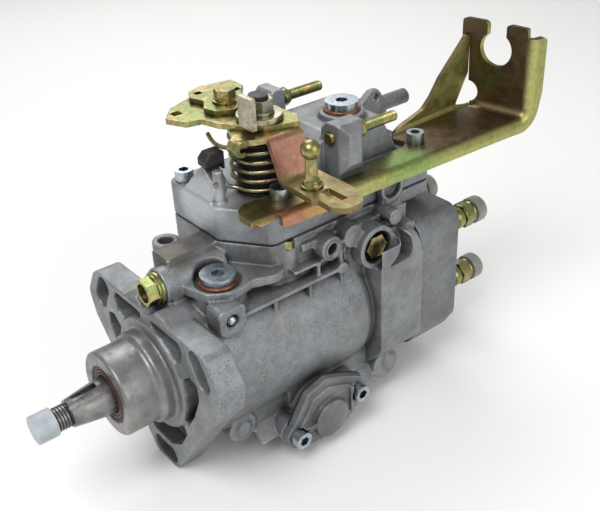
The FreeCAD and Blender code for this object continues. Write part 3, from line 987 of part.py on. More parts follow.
def make_throttle():
    x, y = "throttle_x", "throttle_y"
    shaft = rod("Z", "throttle_r", "throttle_top - seam_z - 8", x, y, "seam_z + 8")
    pin = rod("-Z", "1.5", "6", "throttle_x + 2.5", y, "seam_z + 9")
    fuse(shaft, pin, label="throttle_shaft")
    bore = ("Z", "throttle_r", "60", x, y, "lever_z - 30")
    top = padded("XY_Plane", "lever_z", "plate_thick", [
        ("throttle_x - 22", "throttle_y - 9"), ("throttle_x - 20", "throttle_y - 4"),
        ("throttle_x - 12", "throttle_y + 12"), ("throttle_x + 6", "throttle_y + 36"),
        ("far_stop_x - 21", "far_stop_y + 5"), ("far_stop_x - 19.3", "far_stop_y + 3"),
        ("far_stop_x - 19.3", "far_stop_y - 5"), ("throttle_x + 15", "throttle_y - 5"),
        ("throttle_x + 12", "throttle_y - 18"), ("throttle_x - 9", "throttle_y - 18")])
    stop_tab = block("far_stop_x - 22.3", "far_stop_x - 19.3", "far_stop_y - 5", "far_stop_y + 3",
                     "far_stop_z - 5", "lever_z + 1")
    fall = doc.addObject("PartDesign::Body", tidy_name("padded"))
    section = outline(fall, "YZ_Plane", "throttle_x - 9", [
        ("throttle_y - 17", "lever_z + plate_thick"), ("throttle_y - 17", "lever_z"),
        ("throttle_y - 18", "lever_z"), ("throttle_y - 27", "lever_z - arm_drop"),
        ("throttle_y - 32", "lever_z - arm_drop"),
        ("throttle_y - 32", "lever_z - arm_drop + plate_thick"),
        ("throttle_y - 29", "lever_z - arm_drop + plate_thick"),
        ("throttle_y - 20", "lever_z + plate_thick")])
    pad = fall.newObject("PartDesign::Pad", tidy_name("pad"))
    pad.Profile = section
    bind(pad, Length="21")
    arm = padded("XY_Plane", "lever_z - arm_drop", "plate_thick", [
        ("throttle_x - 9", "throttle_y - 31"), ("throttle_x - 10", "throttle_y - 52"),
        ("throttle_x - 9", "throttle_y - arm_end + 3"), ("throttle_x - 4", "throttle_y - arm_end"),
        ("throttle_x + 5", "throttle_y - arm_end"), ("throttle_x + 11", "throttle_y - arm_end + 8"),
        ("throttle_x + 12", "throttle_y - 48"), ("throttle_x + 12", "throttle_y - 31")])
    slot = block("throttle_x - 2.5", "throttle_x + 3.5", "throttle_y - arm_end + 9",
                 "throttle_y - ball_reach - 7", "lever_z - arm_drop - 1", "lever_z - arm_drop + 8")
    hook = cut(rod("Y", "4.2", "8", "throttle_x - 20.5", "throttle_y - 11", "lever_z - 1.2"),
               rod("Y", "2.2", "10", "throttle_x - 20.5", "throttle_y - 12", "lever_z - 1.2"),
               block("throttle_x - 20", "throttle_x - 15", "throttle_y - 12", "throttle_y - 2",
                     "lever_z - 8", "lever_z - 0.5"))
    foot = ("Z", "1.9", "10", "throttle_x - 2", "throttle_y - ball_reach", "lever_z - arm_drop - 2")
    cut(fuse(top, stop_tab, fall, arm, hook), rod(*bore), slot, rod(*foot), label="control_lever")
    level = "lever_z + plate_thick"
    sector = padded("XY_Plane", level, "plate_thick", [
        ("44", "33"), ("54", "44"), ("70", "50"), ("86", "40"), ("94", "14"), ("96", "-8"),
        ("91", "-16"), ("74", "-10"), ("60", "9"), ("57", "20"), ("49", "22")])
    bolt_x, bolt_y = "throttle_x - 3", "throttle_y + 25"
    cut(sector, rod(*bore), rod("Z", "screw_r", "8", bolt_x, bolt_y, "lever_z"),
        block("49.5", "54.5", "33", "38", "lever_z", "lever_z + 10"), label="sector_plate")
    upper = "lever_z + plate_thick * 2"
    cut(padded("XY_Plane", upper, "plate_thick", [
        ("65", "43"), ("69", "50"), ("78", "53"), ("96", "50"), ("96", "38"), ("89", "30"),
        ("85", "20"), ("73", "13"), ("64", "18"), ("62", "25"), ("68", "34")]),
        rod("Z", "screw_r", "8", bolt_x, bolt_y, upper),
        block("70", "74", "43.5", "47", "lever_z", "lever_z + 12"),
        block("87", "92", "34", "38", "lever_z", "lever_z + 12"), label="cam_plate")
    cut(fuse(rod("Z", "6.8", "1.1", bolt_x, bolt_y, "lever_z + plate_thick * 3"),
             rod("Z", "5.6", "2.4", bolt_x, bolt_y, "lever_z + plate_thick * 3"),
             hexagon("Z", "10", "4.5", bolt_x, bolt_y, "lever_z + plate_thick * 3 + 2.2", twist=15),
             rod("-Z", "screw_r", "plate_thick * 2", bolt_x, bolt_y, "lever_z + plate_thick * 3")),
        rod("Z", "0.5", "1", bolt_x, bolt_y, "lever_z + 30"), label="sector_bolt")
    disc = rod("Z", "12", "plate_thick", x, y, upper)
    tab = block("throttle_x - 14", "throttle_x - 11", "throttle_y - 13", "throttle_y - 2", upper,
                "throttle_top + 4")
    tongue = block("throttle_x - 13", x, "throttle_y - 9", "throttle_y - 2", upper,
                   "lever_z + plate_thick * 3")
    cut(fuse(disc, tab, tongue), rod(*bore), label="stop_arm")
    nut_z = "lever_z + plate_thick * 3 + 1.6"
    cut(fuse(hexagon("Z", "13", "6", x, y, nut_z, twist=10), rod("-Z", "7.6", "1.6", x, y, nut_z)),
        rod(*bore), label="lever_nut")
    stud_x, stud_y = "throttle_x - 2", "throttle_y - ball_reach"
    low = "lever_z - arm_drop + plate_thick"
    fuse(rod("Z", "5.6", "1.2", stud_x, stud_y, low),
         cone("Z", "4.6", "3.9", "3.6", stud_x, stud_y, low),
         cone("Z", "3.6", "2.5", "ball_z - lever_z + arm_drop - plate_thick", stud_x, stud_y, low),
         ball("ball_r", stud_x, stud_y, "ball_z"),
         rod("-Z", "1.9", "plate_thick + 1.5", stud_x, stud_y, f"{low} + 0.5"), label="ball_stud")
    spring = coil(amount("spring_r"), amount("spring_wire_r"), amount("spring_pitch"),
                  amount("spring_turns"))
    spring.translate(Vector(amount("throttle_x"), amount("throttle_y"), amount("spring_low")))
    solid_node("return_spring", spring)


def make_bracket():
    near, near_rear = "bracket_near", "bracket_near_rear"
    strip = padded("XY_Plane", "cover_top", "bracket_thick", [
        ("chamfer_x + 8", "box_near + 12"), ("bracket_front + 8", "box_near + 12.5"),
        ("bracket_front + 2", "box_near + 9.5"), ("bracket_front - 0.5", "box_near + 5"),
        ("bracket_front - 0.5", "bracket_near + 1.5"), ("bracket_front + 2.5", "bracket_near - 1.5"),
        ("chamfer_x - 4.5", "bracket_near - 2"), ("chamfer_x", "bracket_near + 1"),
        ("bracket_rear + 3", "bracket_near_rear + 1"), ("bracket_rear", "bracket_far + 2"),
        ("gusset_start", "bracket_far"), ("gusset_start - 3", "bracket_far - 6"),
        ("gusset_start - 1", "box_near + 10"), ("gusset_start - 6", "box_near + 7"),
        ("near_stop_x + 15", "box_near + 5"), ("near_stop_x + 1", "box_near - 1"),
        ("near_stop_x - 25", "box_near - 1"), ("chamfer_x + 18", "box_near + 12")])
    lean = math.degrees(math.atan2(amount("bracket_near_rear - bracket_near"),
                                   amount("bracket_rear - chamfer_x")))
    bend = [("7", "cover_top + bracket_thick")] + [
        (f"bend_r - bend_r * {math.sin(math.radians(angle)):.6f}",
         f"cover_top + bracket_thick - bend_r + bend_r * {math.cos(math.radians(angle)):.6f}")
        for angle in (0, 22.5, 45, 67.5, 90)]
    bend += [("0", "cover_top - lip_drop"), ("bracket_thick", "cover_top - lip_drop"),
             ("bracket_thick", "cover_top - 1"), ("bracket_thick + 1", "cover_top"), ("7", "cover_top")]
    lip = padded("YZ_Plane", "0", "bracket_rear + 8 - chamfer_x", bend)
    put(lip, "chamfer_x - 4", "bracket_near - bracket_thick", "0",
        turn=FreeCAD.Rotation(Vector(0, 0, 1), lean))
    rear = padded("XY_Plane", "cover_top", "upright_high - cover_top", [
        ("bracket_rear", "bracket_far"), ("bracket_rear + bracket_skew", near_rear),
        ("bracket_rear + bracket_skew + 1", "bracket_near_rear - bracket_thick"),
        ("bracket_rear + bracket_skew + 6", "bracket_near_rear - bracket_thick"),
        ("bracket_rear + bracket_skew + 6", near_rear),
        ("bracket_rear + bracket_skew + bracket_thick + 1", near_rear),
        ("bracket_rear + bracket_skew + bracket_thick", "bracket_near_rear + 1"),
        ("bracket_rear + bracket_thick", "bracket_far")])
    tab = padded("XY_Plane", "upright_high - 12", "12", [
        ("bracket_rear", "bracket_far"), ("bracket_rear - 1", "bracket_far + 5.5"),
        ("bracket_rear + bracket_thick - 1", "bracket_far + 5.5"),
        ("bracket_rear + bracket_thick", "bracket_far")])
    rim = padded("XZ_Plane", "0", "bracket_thick", [
        ("bracket_rear", "cover_top - lip_drop"), ("bracket_rear + 4", "cover_top - lip_drop"),
        ("bracket_rear + 9.5", "cover_top - lip_drop + 1.5"),
        ("bracket_rear + 14", "cover_top - lip_drop + 5"),
        ("bracket_rear + 17", "cover_top - lip_drop + 10"),
        ("bracket_rear + bracket_skew + rim_wide", "cover_top - lip_drop + 19"),
        ("bracket_rear + bracket_skew + rim_wide", "upright_high - 9"),
        ("bracket_rear + bracket_skew + rim_wide - 3", "upright_high - 6"),
        ("bracket_rear + bracket_skew", "upright_high - 6"), ("bracket_rear", "cover_top + 12")])
    put(rim, "0", "bracket_near_rear", "0")
    gusset = padded("XZ_Plane", "0", "bracket_thick", [
        ("0", "cover_top"), ("0", "cover_top + 3"), ("3", "cover_top + 4.5"),
        ("15.5", "cover_top + 7.5"), ("24", "cover_top + 9.5"), ("29", "cover_top + 12"),
        ("34", "cover_top + 16.5"), ("41", "cover_top + 25.5"), ("61", "upright_high - 12"),
        ("64", "upright_high - 9.5"), ("bracket_rear - gusset_start + 2", "upright_high - 9"),
        ("bracket_rear - gusset_start + 2", "cover_top")])
    put(gusset, "gusset_start", "bracket_far", "0", turn=FreeCAD.Rotation(Vector(0, 0, 1), 2.5))
    tools = [rod("X", "keyhole_r", "14", "bracket_rear - 3", "keyhole_y", "keyhole_z"),
             block("bracket_rear - 3", "bracket_rear + 11", "keyhole_y - keyhole_neck / 2",
                   "keyhole_y + keyhole_neck / 2", "keyhole_z", "upright_high + 1"),
             padded("XZ_Plane", "-1 * bracket_far - 5", "bracket_thick + 8", [
                 ("bracket_rear - 11", "cover_top + 4"), ("bracket_rear - 2", "cover_top + 19"),
                 ("bracket_rear - 0.1", "cover_top + 19"), ("bracket_rear - 0.1", "cover_top + 4")]),
             rod("X", "6.5", "10", "bracket_rear - 3", "bracket_far - 1", "cover_top + 11.5")]
    tools += [rod("Z", "screw_r", "8", x, y, "cover_top - 2") for x, y, lift in cover_screw_places()
              if lift != "0"]
    cut(fuse(strip, lip, rear, tab, rim, gusset), *tools, label="cable_bracket")


for make in (make_housing, make_nose, make_drive, make_cam_group, make_head, make_timer,
             make_governor, make_levers, make_cover, make_throttle, make_bracket):
    make()
doc.recompute()
for item in doc.Objects:
    if {"Invalid", "Error"} & set(item.State):
        raise RuntimeError(f"{item.Name} could not be worked out")
for item in nodes:
    if item.Shape.isNull() or not item.Shape.isValid():
        raise RuntimeError(f"{item.Label} has no sound shape")
os.makedirs("parts", exist_ok=True)
for item in nodes:
    item.Shape.exportStep(f"parts/{item.Label}.step")
print(len(nodes), "parts written")
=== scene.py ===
"""Looks of the diesel injection pump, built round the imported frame.

The frame is the CAD model's: +X runs along the drive shaft to the delivery outlets, +Z goes up
through the governor cover, and the near side of the photograph is -Y. Sizes are written in
millimetres and turned into metres where a mesh is made.
"""
import json
import math

import bmesh
import bpy
from mathutils import Matrix, Vector


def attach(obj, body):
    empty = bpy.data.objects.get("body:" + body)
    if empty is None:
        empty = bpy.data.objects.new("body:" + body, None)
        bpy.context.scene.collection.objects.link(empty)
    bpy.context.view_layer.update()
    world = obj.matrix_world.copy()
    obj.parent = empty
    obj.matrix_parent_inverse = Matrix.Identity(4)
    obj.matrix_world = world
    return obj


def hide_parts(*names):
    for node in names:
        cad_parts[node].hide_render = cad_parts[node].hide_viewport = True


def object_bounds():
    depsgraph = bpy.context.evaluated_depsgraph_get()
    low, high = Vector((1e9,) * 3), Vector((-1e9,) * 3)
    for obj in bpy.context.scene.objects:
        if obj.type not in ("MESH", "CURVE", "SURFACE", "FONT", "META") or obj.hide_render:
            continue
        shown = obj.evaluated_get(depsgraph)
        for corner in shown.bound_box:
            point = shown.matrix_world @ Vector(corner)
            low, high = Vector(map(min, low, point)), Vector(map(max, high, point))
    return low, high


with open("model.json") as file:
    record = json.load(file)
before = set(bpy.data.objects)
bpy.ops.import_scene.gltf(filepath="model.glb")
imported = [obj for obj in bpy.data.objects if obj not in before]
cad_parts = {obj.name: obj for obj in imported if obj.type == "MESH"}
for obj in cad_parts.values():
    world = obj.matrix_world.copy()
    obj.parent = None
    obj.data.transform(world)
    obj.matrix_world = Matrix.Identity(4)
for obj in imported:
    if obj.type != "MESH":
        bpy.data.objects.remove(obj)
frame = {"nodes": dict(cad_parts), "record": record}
cad_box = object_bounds()
MM = 0.001
scene = bpy.context.scene
BODY_OF = {node: body for body, nodes in frame["record"]["behaviour"]["bodies"].items()
           for node in nodes}


def mm(*values):
    """Millimetres as a vector in metres."""
    return Vector(values) * MM


# Materials: short ways to write their nodes


class Tree:
    """A material's nodes."""

    def __init__(self, name):
        self.material = bpy.data.materials.new(name)
        self.material.use_nodes = True
        self.nodes = self.material.node_tree.nodes
        self.links = self.material.node_tree.links
        self.shader = self.nodes["Principled BSDF"]
        self.coords = self.nodes.new("ShaderNodeTexCoord").outputs["Object"]

    def feed(self, value, socket):
        """Puts a link, a colour or a number into a socket."""
        if hasattr(value, "links"):
            self.links.new(value, socket)
        elif isinstance(value, (tuple, list)) and len(socket.default_value) == 4:
            socket.default_value = (*value, 1.0)
        else:
            socket.default_value = value

    def noise(self, size_mm, detail=3.0, rough=0.55, stretch=None, distortion=0.0):
        """A noise whose features are about size_mm wide."""
        node = self.nodes.new("ShaderNodeTexNoise")
        node.inputs["Scale"].default_value = 1.0 / (size_mm * MM)
        node.inputs["Detail"].default_value = detail
        node.inputs["Roughness"].default_value = rough
        node.inputs["Distortion"].default_value = distortion
        source = self.coords
        if stretch:
            mapping = self.nodes.new("ShaderNodeMapping")
            mapping.inputs["Scale"].default_value = stretch
            self.links.new(source, mapping.inputs["Vector"])
            source = mapping.outputs["Vector"]
        self.links.new(source, node.inputs["Vector"])
        return node.outputs["Fac"]

    def ramp(self, source, *stops):
        """A colour ramp: stops are (place, colour or grey)."""
        node = self.nodes.new("ShaderNodeValToRGB")
        elements = node.color_ramp.elements
        while len(elements) < len(stops):
            elements.new(0.5)
        for element, (place, colour) in zip(elements, stops):
            element.position = place
            if not isinstance(colour, (tuple, list)):
                colour = (colour, colour, colour)
            element.color = (*colour, 1.0)
        self.links.new(source, node.inputs["Fac"])
        return node.outputs["Color"]

    def mix(self, factor, first, second, blend="MIX"):
        node = self.nodes.new("ShaderNodeMix")
        node.data_type = "RGBA"
        node.blend_type = blend
        self.feed(factor, node.inputs[0])
        self.feed(first, node.inputs[6])
        self.feed(second, node.inputs[7])
        return node.outputs[2]

    def math(self, operation, first, second):
        node = self.nodes.new("ShaderNodeMath")
        node.operation = operation
        self.feed(first, node.inputs[0])
        self.feed(second, node.inputs[1])
        return node.outputs[0]

    def smooth(self, value, start, end, low=0.0, high=1.0):
        """Goes smoothly from low to high while the value goes from start to end."""
        node = self.nodes.new("ShaderNodeMapRange")
        node.interpolation_type = "SMOOTHSTEP"
        self.feed(value, node.inputs["Value"])
        for name, number in (("From Min", start), ("From Max", end), ("To Min", low),
                             ("To Max", high)):
            node.inputs[name].default_value = number
        return node.outputs["Result"]

    def near(self, place, reach, soft=8.0, wobble=6.0):
        """1 within reach of a place, in millimetres, and 0 beyond a soft, uneven border."""
        node = self.nodes.new("ShaderNodeVectorMath")
        node.operation = "DISTANCE"
        self.links.new(self.coords, node.inputs[0])
        node.inputs[1].default_value = mm(*place)
        uneven = self.math("MULTIPLY", self.noise(9, 4, 0.65), wobble * MM)
        far = self.math("ADD", node.outputs["Value"], uneven)
        return self.smooth(far, (reach + wobble / 2) * MM, (reach + soft + wobble / 2) * MM, 1.0, 0.0)

    def along(self, axis, start, end):
        """0 at start and 1 at end along an axis of the frame, in millimetres."""
        node = self.nodes.new("ShaderNodeSeparateXYZ")
        self.links.new(self.coords, node.inputs[0])
        return self.smooth(node.outputs[axis], start * MM, end * MM)

    def facing(self, axis, start, end):
        """0 to 1 by how far the surface faces along an axis of the frame."""
        node = self.nodes.new("ShaderNodeSeparateXYZ")
        coordinates = self.nodes.new("ShaderNodeTexCoord")
        self.links.new(coordinates.outputs["Normal"], node.inputs[0])
        return self.smooth(node.outputs[axis], start, end)

    def pointiness(self, low, high):
        """0 in hollows and 1 on edges, by how the surface curves."""
        geometry = self.nodes.new("ShaderNodeNewGeometry")
        return self.ramp(geometry.outputs["Pointiness"], (low, 0.0), (high, 1.0))

    def painted_occlusion_shade(self, reach_mm, dark):
        """Painted shade: a grey that goes down to dark where other surfaces are close."""
        node = self.nodes.new("ShaderNodeAmbientOcclusion")
        node.samples = 6
        node.inputs["Distance"].default_value = reach_mm * MM
        return self.ramp(node.outputs["AO"], (0.25, dark), (0.85, 1.0))

    def bump(self, source, height_mm, normal=None):
        node = self.nodes.new("ShaderNodeBump")
        node.inputs["Distance"].default_value = height_mm * MM
        node.inputs["Strength"].default_value = 1.0
        self.links.new(source, node.inputs["Height"])
        if normal is not None:
            self.links.new(normal, node.inputs["Normal"])
        return node.outputs["Normal"]

    def finish(self, colour, rough, normal, metallic=0.0, **sockets):
        self.feed(colour, self.shader.inputs["Base Color"])
        self.feed(rough, self.shader.inputs["Roughness"])
        self.links.new(normal, self.shader.inputs["Normal"])
        self.shader.inputs["Metallic"].default_value = metallic
        for name, value in sockets.items():
            self.shader.inputs[name.replace("_", " ")].default_value = value
        return self.material


def grey(level, warmth=0.0):
    """A grey that is bluish below zero warmth and brownish above it."""
    return (level * (1.0 + warmth), level, level * (1.0 - warmth))


OIL_BROWN = (0.060, 0.042, 0.024)


def cast_alloy(name, dark, light, specks, stains=(), burnished=()):
    """Blasted aluminium casting: uneven grey, dark specks, painted shade in crevices and hollows, oil
    stains.
    """
    t = Tree(name)
    base = t.ramp(t.noise(24, 4, 0.6), (0.30, grey(dark, -0.03)), (0.70, grey(light, -0.045)))
    base = t.mix(1.0, base, t.ramp(t.noise(4.5, 3, 0.6), (0.3, 0.86), (0.7, 1.12)), "MULTIPLY")
    grain = t.ramp(t.noise(0.5, 2, 0.8), (0.30, 0.72), (0.62, 1.14))
    base = t.mix(1.0, base, grain, "MULTIPLY")
    for place, reach in burnished:
        base = t.mix(t.near(place, reach, 9, 6), base, grey(light * 1.5, -0.05))
    pits = t.ramp(t.noise(0.7, 1, 0.5), (0.33, 0.8), (0.42, 0.0))
    patchy = t.ramp(t.noise(17, 2), (0.38, 0.1), (0.60, specks))
    base = t.mix(t.mix(1.0, pits, patchy, "MULTIPLY"), base, grey(0.06))
    for place, reach, strength in stains:
        mask = t.math("MULTIPLY", t.near(place, reach), strength)
        base = t.mix(mask, base, OIL_BROWN)
    film = t.ramp(t.noise(42, 5, 0.62, distortion=0.6), (0.55, 0.0), (0.78, 0.26))
    base = t.mix(film, base, (0.095, 0.080, 0.060))
    # Painted shade: darker where other surfaces are close and in the hollows of the mesh.
    base = t.mix(1.0, base, t.painted_occlusion_shade(7.0, 0.26), "MULTIPLY")
    hollow_shade = t.pointiness(0.44, 0.50)
    base = t.mix(1.0, base, t.mix(hollow_shade, grey(0.45, 0.04), (1.0, 1.0, 1.0)), "MULTIPLY")
    base = t.mix(t.pointiness(0.53, 0.60), base, grey(light * 1.7, -0.03))
    rough = t.ramp(t.noise(8, 3), (0.3, 0.36), (0.7, 0.52))
    normal = t.bump(t.noise(0.6, 3, 0.75), 0.07)
    normal = t.bump(t.noise(5, 2), 0.14, normal)
    return t.finish(base, rough, normal, metallic=0.5)


def steel(name, dark, light, warmth, rough, turned=None):
    """Bare steel with a drifting tone and, if turned, fine tool marks."""
    t = Tree(name)
    base = t.ramp(t.noise(9, 4, 0.6), (0.3, grey(dark, warmth)), (0.7, grey(light, warmth * 0.6)))
    stain = t.ramp(t.noise(5, 5, 0.7), (0.55, 0.0), (0.75, 0.6))
    base = t.mix(stain, base, tuple(c * 0.55 for c in grey(dark, warmth + 0.12)))
    # Painted shade: darker where other surfaces are close.
    base = t.mix(1.0, base, t.painted_occlusion_shade(4.0, 0.35), "MULTIPLY")
    normal = t.bump(t.noise(0.6, 2), 0.015)
    if turned:
        normal = t.bump(t.noise(0.5, 1, stretch=turned), 0.012, normal)
    return t.finish(base, t.ramp(t.noise(5), (0.3, rough - 0.08), (0.7, rough + 0.1)), normal,
                    metallic=0.85)


def plated(name, tints, size_mm, rough, zones=()):
    """Zinc plating whose passivation drifts through tints, with painted shade where other surfaces are
    close; zones are (mask maker, tint).
    """
    t = Tree(name)
    base = t.ramp(t.noise(size_mm, 3, 0.5, distortion=1.2),
                  *zip((0.30, 0.42, 0.50, 0.58, 0.68), tints))
    for mask, tint in zones:
        base = t.mix(mask(t), base, tint)
    fine = t.ramp(t.noise(2.2, 4, 0.65), (0.3, 0.78), (0.7, 1.15))
    base = t.mix(1.0, base, fine, "MULTIPLY")
    stain = t.ramp(t.noise(6, 5, 0.7), (0.57, 0.0), (0.76, 0.35))
    base = t.mix(stain, base, tuple(c * 0.45 for c in tints[0]))
    # Painted shade: darker where other surfaces are close.
    base = t.mix(1.0, base, t.painted_occlusion_shade(5.0, 0.32), "MULTIPLY")
    scuff = t.ramp(t.noise(0.9, 3, 0.8), (0.60, 0.0), (0.72, 0.35))
    base = t.mix(scuff, base, tuple(min(0.95, c + 0.2) for c in tints[1]))
    normal = t.bump(t.noise(1.0, 2), 0.015)
    normal = t.bump(t.noise(9, 2), 0.10, normal)
    return t.finish(base, t.ramp(t.noise(6, 3), (0.3, rough - 0.06), (0.7, rough + 0.14)), normal,
                    metallic=1.0)


def copper():
    t = Tree("copper")
    base = t.ramp(t.noise(3, 4), (0.35, (0.24, 0.085, 0.045)), (0.65, (0.46, 0.19, 0.11)))
    return t.finish(base, t.ramp(t.noise(2), (0.3, 0.35), (0.7, 0.6)), t.bump(t.noise(0.8), 0.03),
                    metallic=0.9)


def rubber(name, colour, rough=0.55):
    t = Tree(name)
    base = t.ramp(t.noise(4, 4), (0.3, colour), (0.7, tuple(c * 1.9 for c in colour)))
    return t.finish(base, t.ramp(t.noise(3), (0.3, rough - 0.08), (0.7, rough + 0.12)),
                    t.bump(t.noise(0.7), 0.05))


def cap_plastic(name, colour, rough, clear):
    """Frosted protection caps: pale, a little clear, with scuffs."""
    t = Tree(name)
    base = t.ramp(t.noise(5, 3), (0.3, tuple(c * 0.72 for c in colour)), (0.7, colour))
    base = t.mix(t.ramp(t.noise(1.4, 4, 0.8), (0.55, 0.0), (0.75, 0.5)), base,
                 tuple(min(1.0, c * 1.35) for c in colour))
    normal = t.bump(t.noise(0.9), 0.04)
    return t.finish(base, t.ramp(t.noise(4), (0.3, rough), (0.7, rough + 0.2)), normal,
                    Transmission_Weight=clear, IOR=1.46, Subsurface_Weight=0.15,
                    Subsurface_Scale=0.003)


OLIVE = (0.30, 0.25, 0.10)
GOLD = (0.52, 0.43, 0.20)
GREEN = (0.27, 0.36, 0.13)
PINK = (0.46, 0.24, 0.17)
UMBER = (0.17, 0.12, 0.065)
LIME = (0.42, 0.42, 0.15)
AMBER = (0.46, 0.30, 0.12)
BEND_HIGHLIGHT_PINK = (0.44, 0.23, 0.155)


def lever_zones():
    """The lever's fall goes through pink, with copper-pink painted highlights on its two bends, and
    its arm is brown."""
    return ((lambda t: t.along(2, 98, 94), (0.23, 0.175, 0.085)),
            (lambda t: t.math("MULTIPLY", t.along(2, 95, 99), t.along(1, -14.5, -17.5)), PINK),
            # Painted highlights: copper-pink spots on the two bends.
            (lambda t: t.math("MULTIPLY", t.near((80, -17, 114), 5, 5, 5), 0.8), BEND_HIGHLIGHT_PINK),
            (lambda t: t.math("MULTIPLY", t.near((84, -24, 99), 4, 4, 4), 0.7), BEND_HIGHLIGHT_PINK),
            (lambda t: t.math("MULTIPLY", t.near((88, -6, 114), 8, 8, 8), 0.6), GREEN))


def bracket_zones():
    """The bracket is painted umber shade inside, on its faces turned up and to -X, and a lime
    highlight on the rolled flange's faces turned to -Y, which starts out amber.
    """
    # Painted highlight: faces turned towards -Y are lime, and amber where they start.
    flange = (lambda t: t.facing(1, -0.25, -0.8), LIME)
    start = (lambda t: t.math("MULTIPLY", t.facing(1, -0.25, -0.8), t.along(0, 118, 84)), AMBER)
    blush = (lambda t: t.math("MULTIPLY", t.near((66, -37, 79), 6, 8, 8), 0.8), (0.44, 0.20, 0.14))
    # Painted shade: faces turned up and faces turned towards -X are dark brown and umber.
    web = (lambda t: t.math("MULTIPLY", t.facing(2, 0.5, 0.9), t.along(0, 120, 175)),
           (0.15, 0.105, 0.060))
    rear_wall_shade = (lambda t: t.math("MULTIPLY", t.facing(0, -0.4, -0.9), t.along(0, 200, 215)), UMBER)
    green = (lambda t: t.math("MULTIPLY", t.near((228, -20, 104), 6, 10, 8), 0.7), (0.13, 0.17, 0.06))
    # Painted highlight: a greener gleam on the rolled near edge.
    gleam = (lambda t: t.math("MULTIPLY", t.near((148, -38, 80), 10, 12, 10), 0.7),
             (0.26, 0.42, 0.13))
    return (web, rear_wall_shade, green, flange, start, blush, gleam)


def holder_zones():
    """The delivery valve holders are silvery near the head."""
    return ((lambda t: t.along(0, 203, 201), (0.50, 0.54, 0.58)),)


YELLOW = (OLIVE, GOLD, OLIVE, GREEN, (0.40, 0.27, 0.13))
SILVER = ((0.32, 0.36, 0.41), (0.54, 0.60, 0.66), (0.40, 0.45, 0.51), (0.47, 0.51, 0.55),
          (0.29, 0.32, 0.35))
MATERIALS = {
    "cast": cast_alloy("cast_alloy", 0.185, 0.31, specks=0.9,
                       stains=(((24, 6, 61), 8, 0.75), ((40, 6, 60), 5, 0.5),
                               ((-20, 0, 18), 14, 0.25), ((60, -20, 52), 8, 0.25))),
    "cover": cast_alloy("cast_cover", 0.20, 0.33, specks=0.5,
                        burnished=(((50, 6, 80), 9), ((48, 16, 76), 9)),
                        stains=(((64, -8, 80), 7, 0.3),)),
    "plate": cast_alloy("cast_plate", 0.16, 0.26, specks=0.6, stains=(((70, -52, -40), 9, 0.25),)),
    "head": cast_alloy("head_steel", 0.14, 0.23, specks=1.0, stains=(((165, -10, 48), 14, 0.25),)),
    "hub": steel("machined_hub", 0.20, 0.32, 0.03, 0.42, turned=(14, 1, 1)),
    "steel": steel("machined_steel", 0.24, 0.42, 0.0, 0.3),
    "shaft": steel("shaft_steel", 0.13, 0.30, 0.04, 0.30, turned=(12, 1, 1)),
    "thread": steel("thread_steel", 0.025, 0.06, 0.05, 0.4),
    "dark": steel("dark_steel", 0.035, 0.075, 0.02, 0.42),
    "pressed": steel("pressed_steel", 0.20, 0.36, 0.0, 0.32),
    "silver": plated("zinc_silver", SILVER, 12, 0.24),
    "yellow": plated("zinc_yellow", YELLOW, 15, 0.29),
    "lever": plated("zinc_lever", YELLOW, 24, 0.38, zones=lever_zones()),
    "bracket": plated("zinc_bracket", ((0.24, 0.20, 0.085), (0.34, 0.28, 0.12), (0.24, 0.20, 0.085),
                                       (0.22, 0.23, 0.095), UMBER), 34, 0.36, zones=bracket_zones()),
    "holder": plated("zinc_holder", ((0.24, 0.21, 0.09), (0.42, 0.37, 0.17), OLIVE, GREEN, OLIVE), 9,
                     0.26, zones=holder_zones()),
    "tab": plated("zinc_tab", ((0.36, 0.34, 0.24), (0.52, 0.50, 0.38), (0.38, 0.35, 0.24),
                               (0.46, 0.44, 0.34), OLIVE), 12, 0.25),
    "spring": plated("spring_wire", ((0.24, 0.19, 0.10), (0.44, 0.37, 0.22), (0.30, 0.25, 0.14),
                                     (0.38, 0.32, 0.19), (0.22, 0.17, 0.09)), 6, 0.27),
    "bronze": steel("bronze", 0.16, 0.30, 0.35, 0.4),
    "copper": copper(),
    "black": rubber("black_rubber", (0.010, 0.010, 0.011), 0.5),
    # Painted shade: the spring guide is a black tube that stands for the shade inside the governor.
    "guide": rubber("guide_shade_black", (0.012, 0.012, 0.012), 0.42),
    "seal": rubber("seal_rubber", (0.045, 0.015, 0.013), 0.42),
    "gasket": rubber("gasket_sheet", (0.012, 0.012, 0.012), 0.7),
    "cap": cap_plastic("shaft_cap_plastic", (0.62, 0.68, 0.72), 0.30, 0.25),
    "frosted": cap_plastic("valve_cap_plastic", (0.46, 0.47, 0.43), 0.30, 0.45),
}

# CAD nodes that keep their shape


def smooth_all(mesh):
    mesh.polygons.foreach_set("use_smooth", [True] * len(mesh.polygons))


USUAL_EDGE, SHARPER_THAN = 0.4, math.radians(32.0)


def dress(node, material, bevel_mm, segments):
    """A CAD node keeps its shape, gets rounded edges and a finish."""
    obj = frame["nodes"][node]
    obj.data.materials.clear()
    obj.data.materials.append(MATERIALS[material])
    smooth_all(obj.data)
    weld = obj.modifiers.new("weld", "WELD")
    weld.merge_threshold = 1e-6
    if bevel_mm:
        bevel = obj.modifiers.new("bevel", "BEVEL")
        bevel.width = bevel_mm * MM
        bevel.segments = segments
        bevel.limit_method = "ANGLE"
        bevel.angle_limit = SHARPER_THAN
        bevel.use_clamp_overlap = True
        normals = obj.modifiers.new("normals", "WEIGHTED_NORMAL")
        normals.keep_sharp = True


